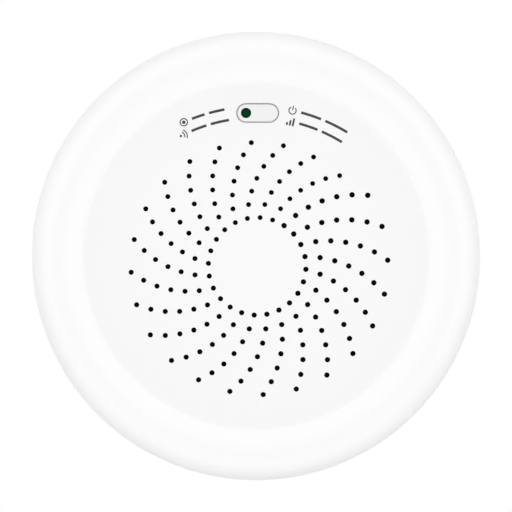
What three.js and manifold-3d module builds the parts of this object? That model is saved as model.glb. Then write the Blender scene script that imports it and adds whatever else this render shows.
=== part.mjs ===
// A round battery carbon monoxide alarm on its wall bracket, in millimetres.
// The wall is the plane y = 0, the front faces -Y and +Z is up.
// Angles round the face run counter-clockwise from +X, as someone in front of it sees them.
import * as THREE from "three";
import { mergeVertices } from "three/addons/utils/BufferGeometryUtils.js";
import Module from "manifold-3d";

const wasm = await Module();
wasm.setup();

// Overall
const bodyRadius = 53.5;
const bodyDepth = 36; // from the wall to the crest of the rim
const coverDepth = 19; // the part of that depth that the front cover takes
const shellWall = 2.2;
const fitGap = 0.3; // between a piece and what it fits in
const runningGap = 0.1; // round a pin that turns, and round a screw
const overrun = 1; // by which a cut passes the faces that it goes through

// Rim of the front cover, from its crest outwards and inwards
const rimOuterRun = 6.1;
const rimOuterDrop = 7.5;
const rimInnerRun = 5.75; // crest to the steepest place
const rimFootRun = 0.7; // steepest place to the flat face
const rimSlope = THREE.MathUtils.degToRad(40.5);

// Sound and gas holes, in arms that bend round the face
const holeRadius = 0.6; // in the shortest arm
const holeGrowthShare = 0.117; // how much wider the holes of the longest arm are
const holeArms = 24;
const holeRings = 7;
const innerRingRadius = 11.63;
const longArmMargin = 9.65; // from the end of the longest arm to the edge of the face
const armGrowth = 2.1; // the longest arm less the shortest one
const armBowShare = 0.1; // how much closer the outer rings lie than the inner ones
const armTwist = THREE.MathUtils.degToRad(23.8);
const firstArmAngle = THREE.MathUtils.degToRad(71.5);
const patternX = 0.27;
const patternZ = -2.46;

// Test button and its light
const windowLength = 10.1;
const windowHeight = 4.55;
const windowX = 0.4;
const windowMargin = 6.9; // from the middle of the button to the edge of the face
const collarWall = 1;
const collarDepth = 3;
const buttonProud = 0.4;
const buttonTravel = 0.8;
const flangeReach = 0.9;
const flangeWall = 1;
const stemRadius = 1.6;
const lightPipeRadius = 1.17;
const switchOffset = 2.6; // from the middle of the button to the switch behind it

// Rear housing
const plateWall = 2;
const skirtGap = 0.9; // from the wall to the back edge of the housing
const skirtTaper = 0.6;
const skirtRound = 1;
const lipWall = 0.8;
const lipDepth = 2.5;
const seamChamfer = 0.3;

// Bayonet between the housing and the bracket
const lugCount = 3;
const lugWidth = THREE.MathUtils.degToRad(14);
const firstLugAngle = THREE.MathUtils.degToRad(90);
const ledgeWall = 1.2;
const ledgeReach = 4.6;
const lugWall = 1.3;
const stopWidth = THREE.MathUtils.degToRad(2.5);
const stopGap = THREE.MathUtils.degToRad(0.5);
const ledgeRoot = 0.15; // depth of the ledges' roots in the housing's wall

// Bracket
const bracketWall = 2;
const ringWidth = 9.6;
const slotWidth = 5;
const slotSpan = THREE.MathUtils.degToRad(20);
const keyholeRadius = 2.6;

// Batteries, of the AA size
const cellRadius = 7.25;
const cellLength = 50.5;
const nubRadius = 2.7;
const nubLength = 1.3;
const cellGap = 0.5;
const cellRound = 0.6;

// Battery bay and its contacts
const bayWall = 1.5;
const contactDepth = 2.8; // from a battery's end to the end wall
const contactWall = 0.5;
const contactWidth = 8;
const contactHeight = 11;
const leafWall = 0.4;
const leafSpan = 8;
const leafWidth = 4.5;
const tabWidth = 3;
const tabReach = 2.4;

// Battery door
const doorWall = 1.6;
const doorSeat = 0.9; // width of the ledge that the door closes on
const barrelRadius = 1.5;
const trunnionRadius = 0.9;
const trunnionLength = 1.8;
const earWall = 2.2;
const earReach = 0.9; // of the ear past the barrel
const latchWidth = 8;
const latchDepth = 3;
const latchWall = 1;
const thumbTabWidth = 11;
const thumbTabReach = 1.7;
const thumbTabWall = 0.8;
const thumbNotchReach = 1.6;
const thumbRibCount = 3;
const thumbRibWidth = 0.5;

// Circuit board and what stands on it
const boardWall = 1.6;
const boardMargin = 1.2; // from the board's edge to the housing's lip
const standoffHeight = 6;
const standoffRadius = 2.6;
const sensorRadius = 8.5;
const sensorHeight = 8.4;
const sensorCapRadius = 7.4;
const sensorCapHeight = 2.6;
const sensorPortRadius = 1.2;
const sensorPortDepth = 1.4;
const switchSide = 6;
const switchHeight = 3.5;
const plungerRadius = 1.75;
const plungerReach = 1;
const plungerDepth = 0.9;
const ledLength = 3;
const ledWidth = 2.6;
const ledHeight = 1.9;
const chipSide = 9;
const chipHeight = 1.2;
const capacitorRadius = 4;
const capacitorHeight = 11;
const capacitorRound = 0.5;
const coilRadius = 4.6;
const coilCoreRadius = 2.6;
const coilHeight = 8;
const coilFlangeWall = 1;

// Where the tall parts stand: across, as a share of the board's radius,
// and up or down, as a share of the way from the battery bay to the board's edge
const sensorShares = { across: 0.37, up: 0.4 };
const capacitorShares = { across: -0.41, up: 0.34 };
const chipShares = { across: 0.31, up: -0.38 };
const coilShares = { across: -0.29, up: -0.4 };

// Horn
const hornRadius = 15.8;
const hornGap = 0.6; // from the horn to the insect screen
const hornWall = 1.3;
const hornFrontWall = 0.9;
const hornPortRadius = 3;
const hornStep = 1.2; // width of the step that holds the piezo disc
const hornSeatShare = 0.3; // of the horn's height, for the disc's seat
const piezoWall = 0.4;
const ceramicRadius = 9.5;
const ceramicWall = 0.3;

// Insect screen
const screenWall = 0.3;
const screenMargin = 1; // from the outermost holes to the edge of the screen

// Screws
const caseScrewCount = 3;
const firstCaseScrewAngle = THREE.MathUtils.degToRad(34);
const caseBossRadius = 4.2;
const caseBossInset = 4; // from the inside of the wall to the middle of a boss
const casePostRadius = 2.8;
const caseHeadRadius = 2.8;
const caseHeadHeight = 1.6;
const caseShankRadius = 1.3;
const caseShankLength = 21;
const boardScrewCount = 3;
const firstBoardScrewAngle = THREE.MathUtils.degToRad(94);
const boardScrewInset = 4.1; // from the board's edge to the middle of a screw
const boardHeadRadius = 2.2;
const boardHeadHeight = 1.4;
const boardShankRadius = 1;
const boardShankLength = 5.5;
const recessDepth = 0.7;
const recessWidth = 0.6;
const recessLengthShare = 0.7; // of the head's radius, for half the cross

// Counts that set how finely round shapes are faceted
const bodySides = 48;
const holeSides = 6;
const drumSides = 24;
const rodSides = 12;
const capsuleSteps = 8;
const slotSteps = 6;
const arcSteps = 4;

// Levels along Y, from the wall to the front
const ledgeFrontY = -(skirtGap + ledgeWall);
const lugBackY = ledgeFrontY - fitGap;
const lugFrontY = lugBackY - lugWall;
const plateBackY = lugFrontY - fitGap;
const plateFrontY = plateBackY - plateWall;
const doorFrontY = plateBackY - doorWall;
const seamY = coverDepth - bodyDepth;
const crestY = -bodyDepth;
const faceY = crestY + (rimInnerRun + rimFootRun) * Math.tan(rimSlope / 2);
const faceBackY = faceY + shellWall;
const boardBackY = plateFrontY - standoffHeight;
const boardFrontY = boardBackY - boardWall;
const cellY = doorFrontY - fitGap - fitGap - cellRadius;
const bayFloorY = cellY - cellRadius - fitGap;
const bayFrontY = bayFloorY - bayWall;
const hornFrontY = faceBackY + screenWall + hornGap;
const hornSeatY = bayFrontY + (hornFrontY - bayFrontY) * hornSeatShare;
const hingeY = plateBackY - barrelRadius;

// Places across the face
const recessRadius = bodyRadius - shellWall;
const faceRadius = bodyRadius - rimOuterRun - rimInnerRun - rimFootRun;
const patternRadius = faceRadius - longArmMargin;
const windowZ = faceRadius - windowMargin;
const buttonLength = windowLength - 2 * fitGap;
const buttonHeight = windowHeight - 2 * fitGap;
const lightPipeX = windowX - (buttonLength - buttonHeight) / 2;
const switchX = windowX + switchOffset;
const ledgeRadius = recessRadius - ledgeReach;
const ringRadius = ledgeRadius - fitGap;
const lugRadius = recessRadius - fitGap;
const cellZ = cellRadius + cellGap / 2;
const bayHalfX = cellLength / 2 + contactDepth;
const bayHalfZ = cellZ + cellRadius + fitGap;
const openingHalfX = bayHalfX + doorSeat;
const openingHalfZ = bayHalfZ + doorSeat;
const doorHalfX = openingHalfX - fitGap;
const doorHalfZ = openingHalfZ - fitGap;
const hingeZ = bayHalfZ + barrelRadius + fitGap;
const pocketTopZ = hingeZ + barrelRadius + fitGap;
const ringHoleRadius = ringRadius - ringWidth;
const ringMiddleRadius = ringRadius - ringWidth / 2;
const caseScrewRadius = recessRadius - caseBossInset;
const boardRadius = recessRadius - fitGap - lipWall - boardMargin;
const boardScrewRadius = boardRadius - boardScrewInset;
const piezoRadius = hornRadius - hornWall - runningGap;
const boardHoleX = bayHalfX + bayWall + fitGap;
const boardHoleZ = bayHalfZ + bayWall + fitGap;
const sensorPlace = boardPlace(sensorShares);
const capacitorPlace = boardPlace(capacitorShares);
const chipPlace = boardPlace(chipShares);
const coilPlace = boardPlace(coilShares);

const materials = {
  shell: plastic(0xf3f3f2, 0.42),
  rear: plastic(0xefefee, 0.5),
  button: plastic(0xeeeeed, 0.38),
  greenLens: plastic(0x03401c, 0.15),
  screen: metal(0x242424, 0.6),
  board: plastic(0x1d5b34, 0.45),
  blackPart: plastic(0x1a1a1c, 0.4),
  ledBody: plastic(0xf4f2e6, 0.3),
  hornBody: plastic(0x2a2a2c, 0.55),
  brassDisc: metal(0xc9a44a, 0.32),
  ceramic: plastic(0xe4e0d4, 0.6),
  sensorCan: metal(0xb9bcc0, 0.3),
  capacitorSleeve: plastic(0x20262e, 0.4),
  copperWinding: metal(0xb06a38, 0.4),
  cell: metal(0x4a5560, 0.35),
  springSteel: metal(0xc4c6c8, 0.25),
  screwSteel: metal(0xa9acb0, 0.3),
};

function plastic(color, roughness) {
  return new THREE.MeshStandardMaterial({ color, roughness, metalness: 0 });
}

function metal(color, roughness) {
  return new THREE.MeshStandardMaterial({ color, roughness, metalness: 1 });
}

// A solid that can be joined and cut, from any closed geometry.
function solid(geometry) {
  geometry.deleteAttribute("normal");
  geometry.deleteAttribute("uv");
  const merged = mergeVertices(geometry);
  const mesh = new wasm.Mesh({
    numProp: 3,
    vertProperties: merged.attributes.position.array,
    triVerts: new Uint32Array(merged.index.array),
  });
  return new wasm.Manifold(mesh);
}

function join(first, ...others) {
  return others.reduce((sum, other) => sum.add(other), first);
}

function cut(body, ...tools) {
  return tools.reduce((rest, tool) => rest.subtract(tool), body);
}

// A solid turned round the Y axis, from [radius, y] points that run counter-clockwise.
function turned(points, sides) {
  const profile = points.map(([radius, y]) => new THREE.Vector2(radius, y));
  return solid(new THREE.LatheGeometry(profile, sides));
}

// A flat outline in x and z, given its depth between two levels of y.
// Each of its arcs gets the number of steps.
function plate(outline, backY, frontY, steps) {
  const geometry = new THREE.ExtrudeGeometry(outline, {
    depth: backY - frontY,
    bevelEnabled: false,
    curveSegments: steps / 2,
  });
  const toFront = new THREE.Matrix4().makeBasis(
    new THREE.Vector3(1, 0, 0),
    new THREE.Vector3(0, 0, 1),
    new THREE.Vector3(0, -1, 0),
  );
  geometry.applyMatrix4(toFront);
  geometry.translate(0, backY, 0);
  return solid(geometry);
}

function block(lowX, highX, lowY, highY, lowZ, highZ) {
  const geometry = new THREE.BoxGeometry(highX - lowX, highY - lowY, highZ - lowZ);
  geometry.translate((lowX + highX) / 2, (lowY + highY) / 2, (lowZ + highZ) / 2);
  return solid(geometry);
}

// A round rod along Y.
function rod(radius, x, z, backY, frontY, sides) {
  const geometry = new THREE.CylinderGeometry(radius, radius, backY - frontY, sides);
  geometry.translate(x, (backY + frontY) / 2, z);
  return solid(geometry);
}

// A round rod along X.
function crossRod(radius, lowX, highX, y, z, sides) {
  const geometry = new THREE.CylinderGeometry(radius, radius, highX - lowX, sides);
  geometry.rotateZ(Math.PI / 2);
  geometry.translate((lowX + highX) / 2, y, z);
  return solid(geometry);
}

// An outline with straight long sides and half-round ends.
function capsule(length, height, x, z) {
  const radius = height / 2;
  const reach = length / 2 - radius;
  const outline = new THREE.Shape();
  outline.absarc(x + reach, z, radius, -Math.PI / 2, Math.PI / 2);
  outline.absarc(x - reach, z, radius, Math.PI / 2, (3 * Math.PI) / 2);
  outline.closePath();
  return outline;
}

// The outline between two radii and two angles.
function sector(innerRadius, outerRadius, fromAngle, toAngle) {
  const outline = new THREE.Shape();
  outline.absarc(0, 0, outerRadius, fromAngle, toAngle, false);
  outline.absarc(0, 0, innerRadius, toAngle, fromAngle, true);
  outline.closePath();
  return outline;
}

// A place on the board above or below the battery bay, from its shares.
function boardPlace({ across, up }) {
  const room = boardRadius - boardHoleZ;
  return { x: across * boardRadius, z: Math.sign(up) * boardHoleZ + up * room };
}

// Evenly spaced places on a circle round the middle of the face.
function ringPlaces(count, firstAngle, radius) {
  return Array.from({ length: count }, (_, index) => {
    const angle = firstAngle + (index * 2 * Math.PI) / count;
    return { angle, x: radius * Math.cos(angle), z: radius * Math.sin(angle) };
  });
}

// Points on an arc of an ellipse, its middle and both ends among them.
function arcPoints(middleX, middleY, reachX, reachY, fromAngle, toAngle, steps) {
  return Array.from({ length: steps + 1 }, (_, step) => {
    const angle = fromAngle + ((toAngle - fromAngle) * step) / steps;
    return [middleX + reachX * Math.cos(angle), middleY + reachY * Math.sin(angle)];
  });
}

function piece(name, shape, material) {
  const made = shape.getMesh();
  const indexed = new THREE.BufferGeometry();
  indexed.setAttribute("position", new THREE.BufferAttribute(made.vertProperties, 3));
  indexed.setIndex(new THREE.BufferAttribute(made.triVerts, 1));
  const geometry = indexed.toNonIndexed();
  geometry.computeVertexNormals();
  const mesh = new THREE.Mesh(geometry, material);
  mesh.name = name;
  return mesh;
}

// Where the holes are, and how wide: each arm runs outwards and bends clockwise,
// and the arms grow longer and their holes wider one after the other round the pattern.
function holePlaces() {
  const places = [];
  for (let arm = 0; arm < holeArms; arm += 1) {
    const grown = arm / (holeArms - 1);
    const length = patternRadius - innerRingRadius - armGrowth * (1 - grown);
    const hole = holeRadius * (1 + holeGrowthShare * grown);
    for (let ring = 0; ring < holeRings; ring += 1) {
      const along = ring / (holeRings - 1);
      const bow = armBowShare * along * (1 - along);
      const radius = innerRingRadius + length * (along + bow);
      const start = firstArmAngle + (arm * 2 * Math.PI) / holeArms;
      const angle = start - armTwist * (along - bow);
      const x = patternX + radius * Math.cos(angle);
      const z = patternZ + radius * Math.sin(angle);
      places.push([x, z, hole]);
    }
  }
  return places;
}

// The section of the cover's skin from the axis to the seam, at a depth under its outside.
function coverSkin(depth, steps) {
  const crestRadius = bodyRadius - rimOuterRun;
  const convex = rimInnerRun / Math.sin(rimSlope) - depth;
  const concave = rimFootRun / Math.sin(rimSlope) + depth;
  const level = faceY + depth;
  const flat = -Math.PI / 2;
  return [
    [0, level],
    ...arcPoints(
      faceRadius, level - concave, concave, concave,
      Math.PI / 2, Math.PI / 2 - rimSlope, steps / 2,
    ),
    ...arcPoints(
      crestRadius, crestY + depth + convex, convex, convex,
      flat - rimSlope, flat, steps,
    ).slice(1),
    ...arcPoints(
      crestRadius, crestY + rimOuterDrop, rimOuterRun - depth, rimOuterDrop - depth,
      flat, 0, steps + 1,
    ).slice(1),
  ];
}

function makeFrontCover() {
  const outside = coverSkin(0, arcSteps);
  const inside = coverSkin(shellWall, arcSteps / 2);
  let cover = turned(
    [
      ...outside,
      [bodyRadius, seamY - seamChamfer],
      [bodyRadius - seamChamfer, seamY],
      [recessRadius, seamY],
      ...inside.reverse(),
    ],
    bodySides,
  );
  const collarLength = windowLength + 2 * collarWall;
  const collarHeight = windowHeight + 2 * collarWall;
  const collarBackY = faceBackY + collarDepth;
  const collar = capsule(collarLength, collarHeight, windowX, windowZ);
  cover = cover.add(plate(collar, collarBackY, faceBackY - shellWall / 2, capsuleSteps));
  const postFrontY = crestY + shellWall / 2;
  for (const { x, z } of ringPlaces(caseScrewCount, firstCaseScrewAngle, caseScrewRadius)) {
    const pilotFrontY = plateBackY - caseShankLength - caseHeadHeight - overrun;
    const post = rod(casePostRadius, x, z, seamY, postFrontY, rodSides);
    const pilot = rod(caseShankRadius + runningGap, x, z, seamY + overrun, pilotFrontY, rodSides);
    cover = cut(cover.add(post), pilot);
  }
  const window = capsule(windowLength, windowHeight, windowX, windowZ);
  const cuts = [plate(window, collarBackY + overrun, faceY - overrun, capsuleSteps)];
  for (const [x, z, hole] of holePlaces()) {
    cuts.push(rod(hole, x, z, faceBackY + overrun, faceY - overrun, holeSides));
  }
  return cut(cover, join(...cuts));
}

function makeInsectScreen() {
  const radius = patternRadius + screenMargin;
  return rod(radius, patternX, patternZ, faceBackY + screenWall, faceBackY, bodySides / 2);
}

// The cup of the rear housing, with the recess for the bracket behind its back plate
// and a lip at its front that finds the inside of the front cover.
function housingShell() {
  const backRadius = bodyRadius - skirtTaper;
  const lipOuter = recessRadius - fitGap;
  const lipInner = lipOuter - lipWall;
  const profile = [
    [0, plateFrontY],
    [recessRadius, plateFrontY],
    [recessRadius, seamY + shellWall],
    [lipInner, seamY + lipWall],
    [lipInner, seamY - lipDepth],
    [lipOuter, seamY - lipDepth],
    [lipOuter, seamY],
    [bodyRadius - seamChamfer, seamY],
    [bodyRadius, seamY + seamChamfer],
    ...arcPoints(
      backRadius - skirtRound, -skirtGap - skirtRound, skirtRound, skirtRound,
      0, Math.PI / 2, arcSteps / 2,
    ),
    [recessRadius, -skirtGap],
    [recessRadius, plateBackY],
    [0, plateBackY],
  ];
  return turned(profile, bodySides);
}

// The ledges that catch behind the bracket's lugs, each with the rib that stops its turn.
function bayonetLedges() {
  return ringPlaces(lugCount, firstLugAngle, ledgeRadius).flatMap(({ angle }) => {
    const from = angle - lugWidth / 2;
    const to = angle + lugWidth / 2;
    const rim = recessRadius + ledgeRoot;
    const stopFrom = to + stopGap;
    const stopTo = stopFrom + stopWidth;
    const ledge = sector(ledgeRadius, rim, from, stopTo + stopGap);
    const stop = sector(ledgeRadius + fitGap, rim, stopFrom, stopTo);
    return [
      plate(ledge, -skirtGap, ledgeFrontY, arcSteps),
      plate(stop, ledgeFrontY + ledgeWall / 2, plateBackY - plateWall / 2, arcSteps),
    ];
  });
}

function makeRearHousing() {
  let housing = join(housingShell(), ...bayonetLedges());
  const tub = block(
    -bayHalfX - bayWall, bayHalfX + bayWall,
    bayFrontY, plateBackY - plateWall / 2,
    -bayHalfZ - bayWall, bayHalfZ + bayWall,
  );
  const earX = openingHalfX + earWall;
  const earHigh = pocketTopZ + earReach;
  const earLow = hingeZ - barrelRadius - earReach;
  const earFrontY = hingeY - barrelRadius - earReach;
  const ears = block(-earX, earX, earFrontY, plateBackY - plateWall / 2, earLow, earHigh);
  housing = join(housing, tub, ears);
  const caseScrews = ringPlaces(caseScrewCount, firstCaseScrewAngle, caseScrewRadius);
  for (const { x, z } of caseScrews) {
    const notchRadius = caseBossRadius + fitGap;
    const notchY = seamY + runningGap;
    const notch = rod(notchRadius, x, z, notchY, seamY - lipDepth - overrun, rodSides);
    const boss = rod(caseBossRadius, x, z, plateBackY - plateWall / 2, seamY + fitGap, rodSides);
    housing = cut(housing, notch).add(boss);
  }
  const boardScrews = ringPlaces(boardScrewCount, firstBoardScrewAngle, boardScrewRadius);
  for (const { x, z } of boardScrews) {
    const standoff = rod(standoffRadius, x, z, plateBackY - plateWall / 2, boardBackY, rodSides);
    housing = housing.add(standoff);
  }
  return cut(housing, ...bayCuts(), ...contactSlots(), ...screwHoles(caseScrews, boardScrews));
}

// The battery bay, the opening that its door closes, and the room for the door's hinge and latch.
function bayCuts() {
  const outY = plateBackY + overrun;
  const thumbX = thumbTabWidth / 2 + fitGap;
  const thumbZ = -doorHalfZ - thumbTabReach - thumbNotchReach;
  const pocketFrontY = hingeY - barrelRadius - fitGap;
  const earX = openingHalfX + earWall + overrun;
  return [
    block(-bayHalfX, bayHalfX, bayFloorY, outY, -bayHalfZ, bayHalfZ),
    block(-openingHalfX, openingHalfX, doorFrontY, outY, -openingHalfZ, openingHalfZ),
    block(-openingHalfX, openingHalfX, pocketFrontY, outY, bayHalfZ - overrun, pocketTopZ),
    block(-thumbX, thumbX, plateBackY - thumbTabWall - fitGap, outY, thumbZ, -bayHalfZ),
    crossRod(trunnionRadius + runningGap, -earX, earX, hingeY, hingeZ, rodSides),
  ];
}

// The slots through the bay's end walls for the contacts' tabs.
function contactSlots() {
  const backY = boardFrontY + runningGap;
  const frontY = boardFrontY - contactWall - runningGap;
  const reach = bayHalfX + bayWall + overrun;
  const half = tabWidth / 2 + runningGap;
  return [
    block(-reach, -bayHalfX + overrun, frontY, backY, -half, half),
    block(bayHalfX - overrun, reach, frontY, backY, cellZ - half, cellZ + half),
    block(bayHalfX - overrun, reach, frontY, backY, -cellZ - half, -cellZ + half),
  ];
}

function screwHoles(caseScrews, boardScrews) {
  const headSeatY = plateBackY - caseHeadHeight - runningGap;
  const holes = [];
  for (const { x, z } of caseScrews) {
    const head = caseHeadRadius + runningGap;
    const shank = caseShankRadius + fitGap;
    holes.push(rod(head, x, z, plateBackY + overrun, headSeatY, rodSides));
    holes.push(rod(shank, x, z, plateBackY + overrun, seamY - overrun, rodSides));
  }
  for (const { x, z } of boardScrews) {
    const shank = boardShankRadius + runningGap;
    holes.push(rod(shank, x, z, plateFrontY, boardBackY - overrun, rodSides));
  }
  return holes;
}

function makeBracket() {
  const ring = new THREE.Shape();
  ring.absarc(0, 0, ringRadius, 0, 2 * Math.PI);
  const opening = new THREE.Path();
  opening.absarc(0, 0, ringHoleRadius, 0, 2 * Math.PI, true);
  ring.holes.push(opening);
  let bracket = plate(ring, 0, -bracketWall, bodySides);
  for (const { angle } of ringPlaces(lugCount, firstLugAngle, ringRadius)) {
    const from = angle - lugWidth / 2;
    const to = angle + lugWidth / 2;
    const lugRoot = ringRadius - lugWall - 2 * fitGap;
    const web = sector(lugRoot + fitGap, ringRadius - fitGap, from + stopGap, to - stopGap);
    const lug = sector(lugRoot, lugRadius, from, to);
    bracket = join(
      bracket,
      plate(web, -bracketWall / 2, lugBackY - lugWall / 2, arcSteps),
      plate(lug, lugBackY, lugFrontY, arcSteps),
    );
  }
  for (const middle of [0, Math.PI]) {
    const low = ringMiddleRadius - slotWidth / 2;
    const high = ringMiddleRadius + slotWidth / 2;
    const slot = sector(low, high, middle - slotSpan / 2, middle + slotSpan / 2);
    bracket = cut(bracket, plate(slot, overrun, -bracketWall - overrun, slotSteps));
    for (const end of [middle - slotSpan / 2, middle + slotSpan / 2]) {
      const x = ringMiddleRadius * Math.cos(end);
      const z = ringMiddleRadius * Math.sin(end);
      bracket = cut(bracket, rod(slotWidth / 2, x, z, overrun, -bracketWall - overrun, rodSides));
    }
  }
  for (const z of [-ringMiddleRadius, ringMiddleRadius]) {
    bracket = cut(bracket, rod(keyholeRadius, 0, z, overrun, -bracketWall - overrun, rodSides));
  }
  return bracket;
}

function makeBatteryDoor() {
  const panel = block(-doorHalfX, doorHalfX, doorFrontY, plateBackY, -doorHalfZ, hingeZ);
  const barrel = crossRod(barrelRadius, -doorHalfX, doorHalfX, hingeY, hingeZ, rodSides);
  const trunnionX = openingHalfX + trunnionLength;
  const trunnion = crossRod(trunnionRadius, -trunnionX, trunnionX, hingeY, hingeZ, rodSides);
  const latchLow = -bayHalfZ + fitGap;
  const latch = block(
    -latchWidth / 2, latchWidth / 2,
    doorFrontY - latchDepth, doorFrontY + doorWall / 2,
    latchLow, latchLow + latchWall,
  );
  const tab = block(
    -thumbTabWidth / 2, thumbTabWidth / 2,
    plateBackY - thumbTabWall, plateBackY,
    -doorHalfZ - thumbTabReach, -doorHalfZ + doorSeat,
  );
  let door = join(panel, barrel, trunnion, latch, tab);
  for (let rib = 0; rib < thumbRibCount; rib += 1) {
    const lowZ = -doorHalfZ - thumbTabReach + thumbRibWidth * (2 * rib + 1);
    const half = thumbTabWidth / 2 - thumbRibWidth;
    const groove = block(
      -half, half,
      plateBackY - thumbTabWall / 2, plateBackY + overrun,
      lowZ, lowZ + thumbRibWidth,
    );
    door = cut(door, groove);
  }
  return door;
}

// A cell along X, with its raised end towards +X.
function makeCell() {
  const end = cellLength / 2;
  const shoulder = end - nubLength;
  const profile = [
    [0, -end],
    [cellRadius - cellRound, -end],
    [cellRadius, -end + cellRound],
    [cellRadius, shoulder - cellRound],
    [cellRadius - cellRound, shoulder],
    [nubRadius, shoulder],
    [nubRadius, end],
    [0, end],
  ].map(([radius, along]) => new THREE.Vector2(radius, along));
  const geometry = new THREE.LatheGeometry(profile, drumSides);
  geometry.rotateZ(-Math.PI / 2);
  return solid(geometry);
}

// A contact in the bay's end wall: a plate with one sprung leaf for each cell height, and its tab.
// It is drawn for the +X end, and the -X end takes it mirrored.
function makeContact(leafHeights, tabZ, side) {
  const lowZ = Math.min(...leafHeights) - contactHeight / 2;
  const highZ = Math.max(...leafHeights) + contactHeight / 2;
  const wallX = bayHalfX;
  const plateX = wallX - contactWall;
  const rise = plateX - cellLength / 2 - fitGap;
  const leafRadius = (rise * rise + (leafSpan * leafSpan) / 4) / (2 * rise);
  const leafAngle = Math.asin(leafSpan / 2 / leafRadius);
  const backY = cellY + contactWidth / 2;
  let contact = block(plateX, wallX, backY - contactWidth, backY, lowZ, highZ);
  for (const z of leafHeights) {
    const middleX = cellLength / 2 + fitGap + leafRadius;
    const outline = new THREE.Shape();
    const from = Math.PI - leafAngle;
    const to = Math.PI + leafAngle;
    outline.absarc(middleX, z, leafRadius, from, to, false);
    outline.absarc(middleX, z, leafRadius - leafWall, to, from, true);
    outline.closePath();
    contact = contact.add(plate(outline, cellY + leafWidth / 2, cellY - leafWidth / 2, slotSteps));
  }
  const tab = block(
    plateX, wallX + bayWall + tabReach,
    boardFrontY - contactWall, boardFrontY,
    tabZ - tabWidth / 2, tabZ + tabWidth / 2,
  );
  contact = contact.add(tab);
  return side > 0 ? contact : contact.mirror([1, 0, 0]);
}

function makeBoard() {
  const outline = new THREE.Shape();
  outline.absarc(0, 0, boardRadius, 0, 2 * Math.PI);
  const opening = new THREE.Path();
  opening.moveTo(-boardHoleX, -boardHoleZ);
  opening.lineTo(-boardHoleX, boardHoleZ);
  opening.lineTo(boardHoleX, boardHoleZ);
  opening.lineTo(boardHoleX, -boardHoleZ);
  opening.closePath();
  outline.holes.push(opening);
  const through = (radius) => ({ x, z }) =>
    rod(radius, x, z, boardBackY + overrun, boardFrontY - overrun, rodSides);
  const holes = ringPlaces(boardScrewCount, firstBoardScrewAngle, boardScrewRadius)
    .map(through(boardShankRadius + runningGap));
  const notches = ringPlaces(caseScrewCount, firstCaseScrewAngle, caseScrewRadius)
    .map(through(caseBossRadius + fitGap));
  return cut(plate(outline, boardBackY, boardFrontY, bodySides), ...holes, ...notches);
}

function makeSensorBody() {
  const frontY = boardFrontY - sensorHeight;
  return rod(sensorRadius, sensorPlace.x, sensorPlace.z, boardFrontY, frontY, drumSides);
}

function makeSensorCap() {
  const backY = boardFrontY - sensorHeight;
  const frontY = backY - sensorCapHeight;
  const cap = rod(sensorCapRadius, sensorPlace.x, sensorPlace.z, backY, frontY, drumSides);
  const port = rod(
    sensorPortRadius, sensorPlace.x, sensorPlace.z,
    frontY + sensorPortDepth, frontY - overrun, rodSides,
  );
  return cut(cap, port);
}

// The horn's cup, open to the bay floor, with a step inside that holds the piezo disc.
function makeHornCup() {
  const inner = hornRadius - hornWall;
  return turned(
    [
      [inner, bayFrontY],
      [inner, hornSeatY],
      [inner - hornStep, hornSeatY],
      [inner - hornStep, hornFrontY + hornFrontWall],
      [hornPortRadius, hornFrontY + hornFrontWall],
      [hornPortRadius, hornFrontY],
      [hornRadius, hornFrontY],
      [hornRadius, bayFrontY],
      [inner, bayFrontY],
    ],
    drumSides,
  );
}

function makePiezoDisc() {
  return rod(piezoRadius, 0, 0, hornSeatY + piezoWall, hornSeatY, drumSides);
}

function makePiezoCeramic() {
  return rod(ceramicRadius, 0, 0, hornSeatY, hornSeatY - ceramicWall, drumSides);
}

function makeSwitchBody() {
  const half = switchSide / 2;
  const frontY = boardFrontY - switchHeight;
  const body = block(
    switchX - half, switchX + half, frontY, boardFrontY, windowZ - half, windowZ + half,
  );
  const bore = rod(
    plungerRadius + runningGap, switchX, windowZ,
    frontY + plungerDepth + buttonTravel + runningGap, frontY - overrun, rodSides,
  );
  return cut(body, bore);
}

function makePlunger() {
  const frontY = boardFrontY - switchHeight;
  return rod(
    plungerRadius, switchX, windowZ,
    frontY + plungerDepth, frontY - plungerReach, rodSides,
  );
}

function makeTestButton() {
  const frontY = faceY - buttonProud;
  const flangeFrontY = faceBackY + collarDepth + runningGap;
  const flangeBackY = flangeFrontY + flangeWall;
  const stemBackY = boardFrontY - switchHeight - plungerReach;
  const cap = capsule(buttonLength, buttonHeight, windowX, windowZ);
  const flange = capsule(
    buttonLength + 2 * flangeReach, buttonHeight + 2 * flangeReach, windowX, windowZ,
  );
  const bore = rod(
    lightPipeRadius + runningGap / 2, lightPipeX, windowZ,
    flangeBackY + overrun, frontY - overrun, rodSides,
  );
  const button = join(
    plate(cap, flangeBackY, frontY, capsuleSteps),
    plate(flange, flangeBackY, flangeFrontY, capsuleSteps),
    rod(stemRadius, switchX, windowZ, stemBackY, flangeBackY - flangeWall / 2, rodSides),
  );
  return cut(button, bore);
}

function makeLightPipe() {
  const frontY = faceY - buttonProud;
  const backY = boardFrontY - ledHeight - buttonTravel - runningGap;
  return rod(lightPipeRadius, lightPipeX, windowZ, backY, frontY, rodSides);
}

function makeStatusLed() {
  const halfX = ledWidth / 2;
  const halfZ = ledLength / 2;
  return block(
    lightPipeX - halfX, lightPipeX + halfX,
    boardFrontY - ledHeight, boardFrontY,
    windowZ - halfZ, windowZ + halfZ,
  );
}

function makeChip() {
  const half = chipSide / 2;
  const { x, z } = chipPlace;
  return block(x - half, x + half, boardFrontY - chipHeight, boardFrontY, z - half, z + half);
}

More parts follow.
